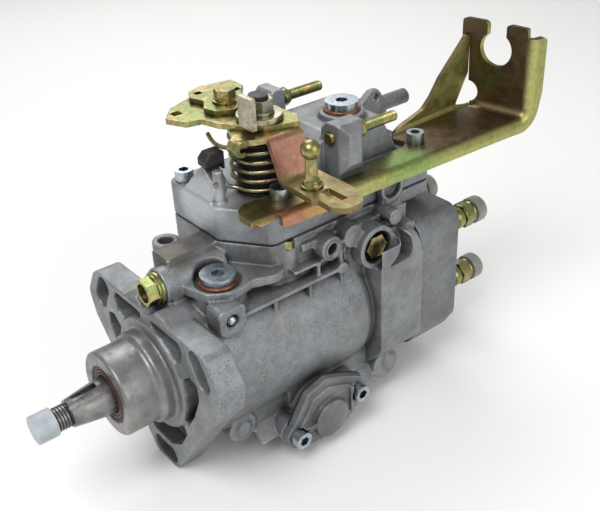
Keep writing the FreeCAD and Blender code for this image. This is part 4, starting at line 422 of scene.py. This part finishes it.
FINISHES = {
    "steel": ("vane_rotor", "pump_vanes", "vane_pump_ring", "vane_pump_plate", "drive_gear",
              "roller_ring", "rollers", "cam_disc", "plunger", "spring_bridge", "control_spool",
              "timer_piston", "governor_shaft", "flyweight_carrier", "flyweight_1", "flyweight_2",
              "flyweight_3", "flyweight_4", "sliding_sleeve"),
    "dark": ("throttle_shaft",),
    "shaft": ("drive_shaft",),
    "pressed": ("start_lever", "tension_lever", "corrector_lever"),
    "silver": ("sealing_plugs", "cover_screws", "timer_screws", "head_plug"),
    "yellow": ("sector_plate", "cam_plate", "sector_bolt", "ball_stud", "pivot_bolts",
               "governor_lock_nut", "head_bolts", "hex_spacer"),
    "tab": ("stop_arm", "lever_nut"),
    "spring": ("governor_spring", "timer_spring", "plunger_springs"),
    "bronze": ("shaft_bush",),
    "copper": ("copper_washers",),
    "black": ("rubber_stop",),
    # Painted shade: the spring guide's black stands for the shade inside the governor.
    "guide": ("spring_guide",),
    "gasket": ("cover_gasket",),
    "cap": ("shaft_thread_cap",),
    "head": ("return_fitting",),
}
PLAIN = {"governor_spring", "timer_spring", "plunger_springs", "drive_gear", "flyweight_carrier",
         "roller_ring", "cover_gasket"}
WIDE_EDGES = {"shaft_thread_cap": 0.9, "rubber_stop": 1.0}
for finish, names in FINISHES.items():
    for name in names:
        dress(name, finish, 0 if name in PLAIN else WIDE_EDGES.get(name, USUAL_EDGE),
              3 if name in WIDE_EDGES else 2)

# New pieces


def piece(name, mesh, material, body, replaced=()):
    """An object that rides on a body, and may stand for CAD nodes."""
    obj = bpy.data.objects.new(name, mesh)
    scene.collection.objects.link(obj)
    obj.data.materials.clear()
    obj.data.materials.append(MATERIALS[material])
    smooth_all(obj.data)
    if replaced:
        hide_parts(*replaced)
    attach(obj, body)
    return obj


def mesh_from(work, name):
    """A mesh from a bmesh, which is freed."""
    bmesh.ops.recalc_face_normals(work, faces=work.faces)
    mesh = bpy.data.meshes.new(name)
    work.to_mesh(mesh)
    work.free()
    return mesh


def even_shading(obj):
    normals = obj.modifiers.new("normals", "WEIGHTED_NORMAL")
    normals.keep_sharp = True


# Castings: the CAD form with its edges and corners rounded as a mould leaves them


def applied(obj):
    """The object's mesh with its modifiers."""
    bpy.context.view_layer.update()
    depsgraph = bpy.context.evaluated_depsgraph_get()
    mesh = bpy.data.meshes.new_from_object(obj.evaluated_get(depsgraph))
    old = obj.data
    obj.modifiers.clear()
    obj.data = mesh
    bpy.data.meshes.remove(old)


def disc(x, y, radius, steps=28):
    return [Vector((x + radius * math.cos(a), y + radius * math.sin(a)))
            for a in (math.tau * step / steps for step in range(steps))]


def prism(outline, start, end):
    """A solid between two planes across y; the outline's points are (x, z)."""
    work = bmesh.new()
    near = [work.verts.new(mm(x, start, z)) for x, z in outline]
    far = [work.verts.new(mm(x, end, z)) for x, z in outline]
    work.faces.new(near)
    work.faces.new(far[::-1])
    for index in range(len(outline)):
        work.faces.new((near[index - 1], near[index], far[index], far[index - 1]))
    obj = bpy.data.objects.new("cutter", mesh_from(work, "cutter"))
    scene.collection.objects.link(obj)
    return obj


WELL_X, WELL_Z, WELL_R, CHEEK_TOP = 120.0, 44.0, 12.6, 31.5
BEFORE_BLOCK, WELL_FACE, RECESS_FLOOR, CORNER_FLOOR = -47.0, -42.3, -37.0, -40.0


def well_recess():
    """The near side block is cut back round the well, up to a hooked rib beside the head."""
    arc = [(WELL_X + WELL_R * math.cos(angle), WELL_Z + WELL_R * math.sin(angle))
           for angle in (math.radians(30 - 120 * step / 16) for step in range(17))]
    inner = [(141.0, CHEEK_TOP + 0.5), (142.0, 37.4), (140.6, 44.0), (137.6, 48.5), (133.0, 50.8)]
    outer = [(139.5, 52.0), (144.6, 46.5), (147.9, 38.0), (149.0, CHEEK_TOP + 0.8),
             (152.5, CHEEK_TOP + 1.0), (152.5, 52.0)]
    mouth = disc(WELL_X, WELL_Z, WELL_R - 0.2, 46)
    return [prism(arc + inner, BEFORE_BLOCK, RECESS_FLOOR), prism(outer, BEFORE_BLOCK, CORNER_FLOOR),
            prism(mouth, BEFORE_BLOCK + 0.5, WELL_FACE)]


KEPT_FACES = 0.4


def casting(node, material, voxel_mm, passes, cutters=()):
    """A CAD casting's copy: cut back if asked, its mesh made even and its edges relaxed."""
    work = bmesh.new()
    work.from_mesh(frame["nodes"][node].data)
    bmesh.ops.remove_doubles(work, verts=work.verts, dist=1e-6)
    obj = bpy.data.objects.new(f"{node}_casting", mesh_from(work, node))
    scene.collection.objects.link(obj)
    for cutter in cutters:
        cut_back = obj.modifiers.new("cut_back", "BOOLEAN")
        cut_back.operation = "DIFFERENCE"
        cut_back.solver = "EXACT"
        cut_back.use_self = True
        cut_back.object = cutter
        applied(obj)
        bpy.data.objects.remove(cutter)
    remesh = obj.modifiers.new("voxels", "REMESH")
    remesh.mode = "VOXEL"
    remesh.voxel_size = voxel_mm * MM
    relax = obj.modifiers.new("relax", "SMOOTH")
    relax.factor = 0.5
    relax.iterations = passes
    thin = obj.modifiers.new("thin", "DECIMATE")
    thin.ratio = KEPT_FACES
    applied(obj)
    obj.data.materials.clear()
    obj.data.materials.append(MATERIALS[material])
    smooth_all(obj.data)
    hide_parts(node)
    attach(obj, BODY_OF[node])
    return obj


HUB_REACH = 26.5


def finish_hub(housing):
    """The nose in front of the flange is turned, not as cast."""
    housing.data.materials.append(MATERIALS["hub"])
    for polygon in housing.data.polygons:
        x, y, z = polygon.center
        if x < -0.6 * MM and math.hypot(y, z) < HUB_REACH * MM:
            polygon.material_index = 1


finish_hub(casting("pump_housing", "cast", 0.7, 4, well_recess()))
casting("governor_cover", "cover", 0.65, 4)
casting("timer_cover_near", "plate", 0.5, 4)
casting("timer_cover_far", "plate", 0.5, 4)
casting("hydraulic_head", "head", 0.8, 6)

# Sheet metal: a flat blank is cut, its edges broken, and then folded


def fold(corners, radii):
    """A line with rounded corners. Returns its length, its bends as (start, end), and a function
    from the distance along it and the depth to its left to a point of its plane."""
    points = [Vector(corner) for corner in corners]
    runs, bends = [], []
    at, along = points[0], 0.0
    for corner, after, radius in zip(points[1:], points[2:], radii):
        into, out = (corner - at).normalized(), (after - corner).normalized()
        turn = math.atan2(into.x * out.y - into.y * out.x, into.dot(out))
        tangent = radius * math.tan(abs(turn) / 2)
        straight = (corner - at).length - tangent
        runs.append((along, along + straight, at.copy(), into, 0.0))
        along += straight
        start = corner - into * tangent
        runs.append((along, along + radius * abs(turn), start, into, math.copysign(radius, turn)))
        bends.append((along, along + radius * abs(turn)))
        along += radius * abs(turn)
        at = corner + out * tangent
    end = along + (points[-1] - at).length
    runs.append((along, end, at, (points[-1] - at).normalized(), 0.0))

    def place(distance, depth):
        run = next((r for r in runs if distance <= r[1]), runs[-1])
        start, _, origin, heading, radius = run
        left = Vector((-heading.y, heading.x))
        if not radius:
            return origin + heading * (distance - start) + left * depth
        swing = (distance - start) / radius
        spun = Matrix.Rotation(swing, 2) @ left
        return origin + left * radius - spun * (radius - depth)

    return end, bends, place


def rounded(corners, radius, steps=4):
    """An outline with rounded corners; a corner may bring its own radius as a third value."""
    points = []
    count = len(corners)
    for index, corner in enumerate(corners):
        here = Vector(corner[:2])
        before = Vector(corners[index - 1][:2])
        after = Vector(corners[(index + 1) % count][:2])
        into, out = (here - before), (after - here)
        own = corner[2] if len(corner) > 2 else radius
        turn = into.angle(out)
        tangent = min(own * math.tan(turn / 2), into.length * 0.48, out.length * 0.48)
        if tangent < 0.05:
            points.append(here)
            continue
        first, last = here - into.normalized() * tangent, here + out.normalized() * tangent
        for step in range(steps + 1):
            share = step / steps
            points.append(first.lerp(here, share).lerp(here.lerp(last, share), share))
    return points


def sheet(name, outline, holes, cuts, thick, place, edge=0.35):
    """A blank in millimetres: filled, sliced where it bends, thickened downwards, its edges
    broken, and folded by place(u, v, depth)."""
    work = bmesh.new()
    for loop in (outline, *holes):
        corners = [work.verts.new((point[0], point[1], 0.0)) for point in loop]
        for index, corner in enumerate(corners):
            work.edges.new((corners[index - 1], corner))
    bmesh.ops.triangle_fill(work, edges=work.edges[:], use_beauty=True)
    for normal, start, end, slices in cuts:
        normal = Vector((*normal, 0.0))
        for index in range(slices + 1):
            at = normal * ((start + (end - start) * index / slices) / normal.length_squared)
            everything = work.verts[:] + work.edges[:] + work.faces[:]
            bmesh.ops.bisect_plane(work, geom=everything, plane_co=at, plane_no=normal, dist=0.01)
    bmesh.ops.recalc_face_normals(work, faces=work.faces)
    bmesh.ops.solidify(work, geom=work.faces[:], thickness=thick)
    sharp = [e for e in work.edges if e.is_manifold and e.calc_face_angle() > math.radians(40)]
    bmesh.ops.bevel(work, geom=sharp, offset=edge, segments=2, profile=0.5, affect="EDGES",
                    clamp_overlap=True)
    low = min(v.co.z for v in work.verts)
    for vert in work.verts:
        depth = -vert.co.z if low < -thick / 2 else thick - vert.co.z
        vert.co = place(vert.co.x, vert.co.y, depth)
    return mesh_from(work, name)


def across_u(bends, slices=7):
    """Cuts across the blank's first direction for each bend."""
    return [((1.0, 0.0), start, end, slices) for start, end in bends]


PLATE = 3.0
LEVER_TOP, ARM_TOP = 114.5, 95.5
LEVER_FAR, ARM_END = 38.0, -70.0


def control_lever():
    """The throttle lever: a plate that drops in two bends to the arm with the ball stud."""
    length, bends, at = fold(((LEVER_FAR, LEVER_TOP), (-18.0, LEVER_TOP), (-28.2, ARM_TOP),
                              (ARM_END, ARM_TOP)), (5.0, 2.2))
    reach = bends[0][0] - (LEVER_FAR + 18.0)

    def plate(x, y):
        return (LEVER_FAR - y, x)

    def arm(x, y):
        return (length - (y - ARM_END), x)

    outline = [plate(57, -8), (*plate(59, -3), 5), (*plate(67, 14), 6), (*plate(85, 37), 3),
               plate(96, 38), plate(98, 36), plate(98, 29), (*plate(95, 6), 6), plate(91.5, -12),
               (*plate(91, -18), 6), (*arm(91, -34), 5), (*arm(91, -50), 12), (*arm(90, -62), 7),
               (*arm(84, -70), 6), (*arm(74, -70), 5), (*arm(69.5, -64), 4), (*arm(70, -54), 2),
               (*arm(68, -51.5), 2), (*arm(69, -32), 4), (*plate(70, -15.5), 4),
               (*plate(64, -13.5), 3)]
    holes = [disc(*plate(79, 1), 5.1), disc(*arm(77, -41), 2.0, 14),
             rounded([arm(75.5, -48), arm(81.5, -48), arm(81.5, -62), arm(75.5, -62)], 0.8)]

    def place(u, v, depth):
        y, z = at(u, depth)
        return mm(v, y, z)

    mesh = sheet("control_lever", rounded(outline, 2.0), holes, across_u(bends), PLATE, place)
    even_shading(piece("control_lever_sheet", mesh, "lever", "throttle", ("control_lever",)))
    curl_length, curl_bends, curl = fold(((68.0, LEVER_TOP - 0.2), (54.6, LEVER_TOP - 0.2),
                                          (54.6, 106.2), (61.0, 106.2)), (4.0, 4.0))

    def place_curl(u, v, depth):
        x, z = curl(u, depth * 0.83)
        return mm(x, v, z)

    blank = rounded([(0, -12.5), (curl_length, -11.5), (curl_length, -4.5), (0, -3.5)], 1.0)
    mesh = sheet("lever_curl", blank, (), across_u(curl_bends), PLATE, place_curl)
    even_shading(piece("lever_curl", mesh, "lever", "throttle"))
    tab_length, tab_bends, tab = fold(((84.0, LEVER_TOP), (97.8, LEVER_TOP), (97.8, 103.5)), (3.6,))

    def place_tab(u, v, depth):
        x, z = tab(u, -depth)
        return mm(x, v, z)

    blank = rounded([(9.0, 28), (tab_length, 28.5), (tab_length, 36), (9.0, 36.5)], 1.0)
    mesh = sheet("lever_tab", blank, (), across_u(tab_bends), PLATE, place_tab)
    even_shading(piece("lever_tab", mesh, "tab", "throttle"))


control_lever()

# The cable bracket: one blank, rolled down along its near edge, up at its rear and along its
# far edge. WEB is the flat width that the near and far edges are stretched from.

STRIP_TOP, WEB = 83.5, 30.0
NEAR_REAR, REAR, SKEW = -39.5, 232.5, 7.0
GUSSET_START, GUSSET_END, CORNER_R = 166.0, 232.3, 5.5
ROLL_R, CREASE_R = 5.0, 3.0


def near_line(x):
    return -33.0 + (min(x, REAR + SKEW) - 62.0) * (NEAR_REAR + 33.0) / (REAR - 62.0)


def far_line(x):
    return -4.7 + (min(x, REAR) - GUSSET_START) * math.tan(math.radians(2.5))


def cable_bracket():
    length, bends, across = fold(((WEB, 60.0), (WEB, 0.0), (-3.0, 0.0), (-3.0, -20.0)),
                                 (CREASE_R, ROLL_R))
    crease_end, roll_start, roll_end = bends[0][1], bends[1][0], bends[1][1]
    flat = crease_end + WEB - CREASE_R
    ahead = 400.0
    _, _, corner = fold(((-ahead, 0.0), (0.0, 0.0), (0.0, 200.0)), (CORNER_R,))
    turned_short = CORNER_R * (2 - math.pi / 2)

    def side(x, stretched):
        """Where a distance over the stretched web lies across the object."""
        near, far = near_line(x), far_line(x)
        if stretched < 0:
            return near + stretched
        return near + stretched * (far - near) / WEB

    def fold_line(y):
        """Where the upright begins, which leans back towards the near side."""
        return REAR + SKEW * (far_line(REAR) - y) / (far_line(REAR) - NEAR_REAR)

    def web(x, y):
        return (x, flat - (y - near_line(x)) * WEB / (far_line(x) - near_line(x)))

    def up(z, y):
        return (fold_line(y) + z - STRIP_TOP - turned_short,
                flat - (y - NEAR_REAR) * WEB / (far_line(REAR) - NEAR_REAR))

    def lip(x, drop):
        return (x, roll_end + drop - ROLL_R)

    def rim(z, drop):
        return (up(z, NEAR_REAR - 3)[0], roll_end + drop - ROLL_R)

    def gusset(x, high):
        if high < CREASE_R:
            return (x, crease_end - CREASE_R * math.acos(1 - high / CREASE_R))
        return (x, 60.0 - high)

    hole_y, hole_z, hole_r, neck = -18.7, 120.5, 10.0, 6.0
    opening = math.asin(neck / hole_r)
    keyhole = []
    for step in range(25):
        angle = opening + (math.tau - 2 * opening) * step / 24
        keyhole.append((*up(hole_z + hole_r * math.cos(angle), hole_y - hole_r * math.sin(angle)),
                        0.0))
    relief = [(*up(92.0 + 6.5 * math.cos(a), -2.2 - 6.5 * math.sin(a)), 0.0)
              for a in (math.pi * step / 10 for step in range(11))]
    outline = [
        web(70, -15), (*web(55, -14.5), 4), web(49, -17.5), web(46.5, -22), (*web(46.5, -32), 3),
        (*web(49.5, -35), 2), web(58, -35.2), (*web(62, -32.6), 1.0), (*lip(62.5, 2.5), 0.8),
        (*lip(62.0, 7.2), 2.0), (*lip(66, 7.8), 2.0), lip(225, 7.6), (*lip(238, 8.2), 6.0),
        (*rim(97, 11.5), 6.0), (*rim(129.5, 11.5), 3.5), (*rim(129.8, 4.2), 0.8),
        (*up(130, -38.2), 0.8), (*up(135.6, -37.6), 1.6), (*up(136, hole_y - neck), 2.5), *keyhole,
        (*up(136, hole_y + neck), 2.5), (*up(136, 3.4), 3.0), (*up(124.5, 3.4), 1.5),
        (*up(123.5, -1.6), 1.0), *relief, (*web(REAR - 2.5, -2.5), 0.5),
        (*gusset(REAR - 11, 2.2), 1.0), (*gusset(REAR - 2.2, 17), 1.0), (*gusset(GUSSET_END, 20), 0.5),
        (*gusset(GUSSET_END, 43.5), 1.0), (*gusset(229.5, 43), 1.5), (*gusset(227, 40.5), 3.0),
        (*gusset(207, 22.5), 12.0), (*gusset(200, 13.5), 8.0), (*gusset(193, 7.5), 8.0),
        (*gusset(181.5, 4.5), 6.0), (*gusset(169, 1.8), 2.0), (*web(166, -6.0), 2.0),
        (*web(163, -8.5), 2.0), web(165, -17), web(160, -20), web(138, -22), web(124, -28),
        web(98, -28), web(80, -15)]
    holes = [[Vector(web(x + 3 * math.cos(a), y + 3 * math.sin(a)))
              for a in (math.tau * step / 16 for step in range(16))]
             for x, y in ((72.5, -20.8), (169.0, -20.0))]
    lean = (fold_line(-37.0) - fold_line(-5.8)) / (roll_start - crease_end)
    first = fold_line(-5.8) - lean * crease_end
    cuts = [((0.0, 1.0), *bends[0], 6), ((0.0, 1.0), *bends[1], 8),
            ((1.0, -lean), first - CORNER_R - 1, first + CORNER_R * 0.6 + 2, 14)]

    def place(u, v, depth):
        creased = u < GUSSET_END + 0.5 and v < crease_end
        if v < crease_end and not creased:
            stretched, lift = flat - v, -depth
        else:
            stretched, lift = across(v, depth)
        if stretched > WEB and creased:
            y = far_line(u) + stretched - WEB
        else:
            y = side(u, stretched)
        if creased:
            return mm(u, y, STRIP_TOP + lift)
        begins = fold_line(y)
        x, z = corner(ahead + u - begins, lift)
        return mm(x + begins, y, STRIP_TOP + z)

    mesh = sheet("cable_bracket", rounded(outline, 1.5), holes, cuts, PLATE, place)
    even_shading(piece("cable_bracket_sheet", mesh, "bracket", "pump", ("cable_bracket",)))


cable_bracket()

# Threads, coils and turned pieces


def threaded(work, start, reach, radius, pitch, depth, centre, around=20, per_turn=6):
    """A threaded rod along x: rings whose radius follows the thread's helix; centre is (y, z)."""
    rings = []
    steps = max(2, round(reach / pitch * per_turn))
    for index in range(steps + 1):
        along = reach * index / steps
        ring = []
        fade = min(1.0, (reach - along) / pitch, along / pitch + 0.2)
        for spoke in range(around):
            angle = math.tau * spoke / around
            phase = (along / pitch - spoke / around) % 1.0
            cut_in = depth * (0.5 + 0.5 * math.cos(math.tau * phase)) * fade
            away = radius - cut_in - (1.0 - min(1.0, (reach - along) / 0.6)) * 0.5
            ring.append(work.verts.new(mm(start + along, centre[0] + away * math.cos(angle),
                                          centre[1] + away * math.sin(angle))))
        rings.append(ring)
    for low, high in zip(rings, rings[1:]):
        for spoke in range(around):
            after = (spoke + 1) % around
            work.faces.new((low[spoke], low[after], high[after], high[spoke]))
    work.faces.new(rings[0][::-1])
    work.faces.new(rings[-1])


def turned(work, profile, centre, axis, steps=48):
    """A ring turned about an axis of the frame: the profile's points are (along, radius)."""
    order = {"x": (0, 1, 2), "y": (1, 2, 0), "z": (2, 0, 1)}[axis]
    rings = []
    for along, radius in profile:
        ring = []
        for step in range(steps):
            angle = math.tau * step / steps
            place = list(centre)
            place[order[0]] += along
            place[order[1]] += radius * math.cos(angle)
            place[order[2]] += radius * math.sin(angle)
            ring.append(work.verts.new(mm(*place)))
        rings.append(ring)
    for low, high in zip(rings, rings[1:] + rings[:1]):
        for step in range(steps):
            after = (step + 1) % steps
            work.faces.new((low[step], low[after], high[after], high[step]))


def nut(work, start, thick, flats, centre, twist):
    """A chamfered hexagon along x; centre is (y, z)."""
    profile = ((start, 0.93), (start + 0.5, 1.0), (start + thick - 0.5, 1.0), (start + thick, 0.93))
    rings = []
    for along, share in profile:
        rings.append([work.verts.new(mm(along, centre[0] + share * flats / math.sqrt(3)
                                        * math.cos(math.radians(60 * k + twist)),
                                        centre[1] + share * flats / math.sqrt(3)
                                        * math.sin(math.radians(60 * k + twist))))
                      for k in range(6)])
    for low, high in zip(rings, rings[1:]):
        for k in range(6):
            after = (k + 1) % 6
            work.faces.new((low[k], low[after], high[after], high[k]))
    work.faces.new(rings[0][::-1])
    work.faces.new(rings[-1])


def stop_screws():
    """Two long adjusting screws with their lock nuts, threaded all along."""
    work = bmesh.new()
    for end, centre in ((123.0, (-21.5, 105.0)), (117.0, (33.0, 109.0))):
        threaded(work, end - 19.0, 47.0, 3.0, 1.25, 0.65, centre)
        nut(work, end, 4.0, 9.0, centre, 12)
    mesh = mesh_from(work, "stop_screws")
    obj = piece("stop_screws_threaded", mesh, "yellow", "pump", ("stop_screws",))
    even_shading(obj)


def shaft_thread():
    work = bmesh.new()
    threaded(work, -58.0, 10.0, 6.35, 1.5, 0.8, (0.0, 0.0), around=36, per_turn=8)
    mesh = mesh_from(work, "shaft_thread")
    piece("shaft_thread", mesh, "thread", "shaft")


def wire(name, points, radius_mm, material, body, replaced=()):
    """A round wire through control points, with rounded ends."""
    curve = bpy.data.curves.new(name, "CURVE")
    curve.dimensions = "3D"
    curve.bevel_depth = radius_mm * MM
    curve.bevel_resolution = 4
    curve.resolution_u = 6
    curve.use_fill_caps = True
    spline = curve.splines.new("NURBS")
    spline.points.add(len(points) - 1)
    for point, place in zip(spline.points, points):
        point.co = (*mm(*place), 1.0)
    spline.order_u = 4
    spline.use_endpoint_u = True
    holder = bpy.data.objects.new(name, curve)
    scene.collection.objects.link(holder)
    bpy.context.view_layer.update()
    mesh = bpy.data.meshes.new_from_object(holder.evaluated_get(
        bpy.context.evaluated_depsgraph_get()))
    bpy.data.objects.remove(holder)
    return piece(name, mesh, material, body, replaced)


def return_spring():
    """The throttle's return spring: its top end hooks round the lever's curled tongue, and its
    foot leans on the cover's post."""
    centre_x, centre_y, low, pitch, turns, radius = 79.0, 1.0, 84.5, 5.1, 5.0, 16.5
    first = math.radians(205)
    foot = [(47.5, -2.4, 91.5), (50.0, 4.0, 90.0), (56.0, 5.0, 86.5), (61.5, 2.0, 84.8)]
    coil = []
    per_turn = 16
    for step in range(int(turns * per_turn)):
        angle = first + math.tau * step / per_turn
        coil.append((centre_x + radius * math.cos(angle), centre_y + radius * math.sin(angle),
                     low + pitch * step / per_turn))
    hook = [(66.0, -9.0, 109.6), (61.0, -4.5, 108.6), (57.0, 2.0, 107.6), (56.5, 9.0, 107.4),
            (58.0, 15.0, 107.8), (59.5, 19.5, 109.0)]
    wire("return_spring_coil", foot + coil + hook, 1.15, "spring", "pump", ("return_spring",))


def shaft_seal():
    """The shaft seal: a sprung rubber lip with raised rings in a pressed steel case."""
    face = -26.6
    rubber_part = bmesh.new()
    turned(rubber_part, ((1.5, 10.5), (0.0, 10.7), (0.0, 11.4), (1.6, 11.7), (1.6, 12.1),
                         (0.0, 12.4), (0.0, 13.2), (1.4, 13.5), (1.4, 13.9), (0.2, 14.1),
                         (0.2, 14.7), (5.5, 14.7), (5.5, 10.5)), (face, 0, 0), "x", 72)
    piece("shaft_seal_lip", mesh_from(rubber_part, "shaft_seal_lip"), "seal", "pump",
          ("shaft_seal",))
    case = bmesh.new()
    turned(case, ((0.4, 14.7), (-0.1, 14.9), (-0.1, 15.2), (0.3, 15.5), (6.0, 15.5), (6.0, 14.7)),
           (face, 0, 0), "x", 72)
    piece("shaft_seal_case", mesh_from(case, "shaft_seal_case"), "dark", "pump")


def port_ring():
    """The insert in the small port on the near side: two raised rings and a dark bore."""
    work = bmesh.new()
    turned(work, ((0.0, 3.4), (0.0, 3.9), (-0.9, 4.1), (-0.9, 4.6), (0.2, 4.8), (0.2, 5.2),
                  (-0.4, 5.4), (-0.4, 5.8), (1.0, 6.0), (6.0, 6.0), (6.0, 3.4)),
           (92.5, -36.9, 52.0), "y", 48)
    piece("port_insert", mesh_from(work, "port_insert"), "hub", "pump")


def timer_gaskets():
    """A thin dark sheet shows between each timing cover and the housing."""
    corners = ((-28, -3), (-13, 20.5), (1, 24.3), (16, 18), (26.5, 12), (30, 5.5), (28, -1),
               (14, -13), (0, -15.5), (-18, -14), (-25, -10))
    grow = 1.018
    outline = rounded([(75 + x * grow, -41.5 + z * grow) for x, z in corners], 3.5)
    for name, face in (("near", -44.8), ("far", 44.0)):
        def place(u, v, depth):
            return mm(u, face + depth, v)
        mesh = sheet(f"timer_gasket_{name}", outline, (), (), 0.8, place, edge=0.1)
        piece(f"timer_gasket_{name}", mesh, "gasket", "pump")


VALVE_SIDE, VALVE_FLATS = 21.0, 14.0


def delivery_valves():
    """Each delivery valve holder has a silvery neck, a round body, a hexagon and a short cap."""
    holders, caps = bmesh.new(), bmesh.new()
    for y_sign in (-1, 1):
        for z_sign in (-1, 1):
            y, z = VALVE_SIDE * y_sign, VALVE_SIDE * z_sign
            turned(holders, ((172.0, 2.0), (172.0, 5.6), (202.8, 5.6), (203.4, 7.0), (207.6, 7.0),
                             (208.2, 6.2), (217.0, 6.2), (217.6, 6.9), (218.6, 6.9), (219.0, 5.1),
                             (222.6, 5.0), (222.6, 2.0)), (0, y, z), "x", 40)
            nut(holders, 209.0, 7.5, VALVE_FLATS, (y, z), 12 * y_sign + 5 * z_sign)
            turned(caps, ((223.2, 0.05), (223.2, 5.3), (218.9, 5.3), (218.9, 7.9), (219.5, 8.3),
                          (225.6, 8.2), (226.6, 7.7), (227.0, 6.6), (227.0, 0.05)), (0, y, z), "x", 40)
    holder = piece("valve_holders_turned", mesh_from(holders, "valve_holders_turned"), "holder",
                   "pump", ("delivery_valve_holders",))
    even_shading(holder)
    even_shading(piece("valve_caps_turned", mesh_from(caps, "valve_caps_turned"), "frosted", "pump",
                       ("valve_caps",)))


delivery_valves()
stop_screws()
shaft_thread()
return_spring()
shaft_seal()
port_ring()
timer_gaskets()

# Floor, light and camera

PALE = (0.93, 0.93, 0.92)
lowest = cad_box[0][2]


def floor():
    work = bmesh.new()
    bmesh.ops.create_grid(work, x_segments=1, y_segments=1, size=12.0)
    mesh = bpy.data.meshes.new("floor")
    work.to_mesh(mesh)
    work.free()
    obj = bpy.data.objects.new("floor", mesh)
    obj.location = (0.1, 0.0, lowest - 0.0002)
    scene.collection.objects.link(obj)
    material = bpy.data.materials.new("floor_white")
    material.use_nodes = True
    material.node_tree.nodes["Principled BSDF"].inputs["Base Color"].default_value = (*PALE, 1.0)
    material.node_tree.nodes["Principled BSDF"].inputs["Roughness"].default_value = 0.9
    mesh.materials.append(material)


def lamp(name, place, target, size, power):
    data = bpy.data.lights.new(name, "AREA")
    data.size = size
    data.energy = power
    obj = bpy.data.objects.new(name, data)
    obj.location = place
    obj.rotation_euler = (Vector(target) - Vector(place)).to_track_quat("-Z", "Y").to_euler()
    scene.collection.objects.link(obj)


floor()
middle = (0.08, 0.0, 0.03)
lamp("key", (-0.50, -0.25, 0.95), middle, 0.6, 7.5)
lamp("fill", (0.25, -0.95, 0.45), middle, 0.8, 3.4)
lamp("back", (0.45, 0.75, 0.85), middle, 0.7, 5.0)
world = bpy.data.worlds.new("studio")
world.use_nodes = True
world.node_tree.nodes["Background"].inputs["Color"].default_value = (1.0, 1.0, 1.0, 1.0)
world.node_tree.nodes["Background"].inputs["Strength"].default_value = 0.43
scene.world = world

# The camera that was fitted to the photograph.
CAMERA_PLACE = mm(-158.36, -334.04, 284.64)
PITCH, YAW, ROLL = 31.07, 39.92, -1.74
FOCAL_PX, CENTRE_PX, PHOTO = 875.7, (329.7, 252.1), (600, 511)
SENSOR = 36.0


def camera():
    pitch, yaw, roll = (math.radians(a) for a in (PITCH, YAW, ROLL))
    forward = Vector((math.sin(yaw) * math.cos(pitch), math.cos(yaw) * math.cos(pitch),
                      -math.sin(pitch)))
    right = Vector((math.cos(yaw), -math.sin(yaw), 0.0))
    up = right.cross(forward)
    right, up = (right * math.cos(roll) + up * math.sin(roll),
                 up * math.cos(roll) - right * math.sin(roll))
    data = bpy.data.cameras.new("photo_camera")
    data.sensor_width = SENSOR
    data.lens = FOCAL_PX * SENSOR / PHOTO[0]
    data.shift_x = (PHOTO[0] / 2 - CENTRE_PX[0]) / PHOTO[0]
    data.shift_y = (CENTRE_PX[1] - PHOTO[1] / 2) / PHOTO[0]
    data.clip_start = 0.01
    obj = bpy.data.objects.new("photo_camera", data)
    axes = Matrix((right, up, -forward)).transposed()
    obj.matrix_world = Matrix.Translation(CAMERA_PLACE) @ axes.to_4x4()
    scene.collection.objects.link(obj)
    scene.camera = obj


camera()
scene.view_settings.view_transform = "Standard"
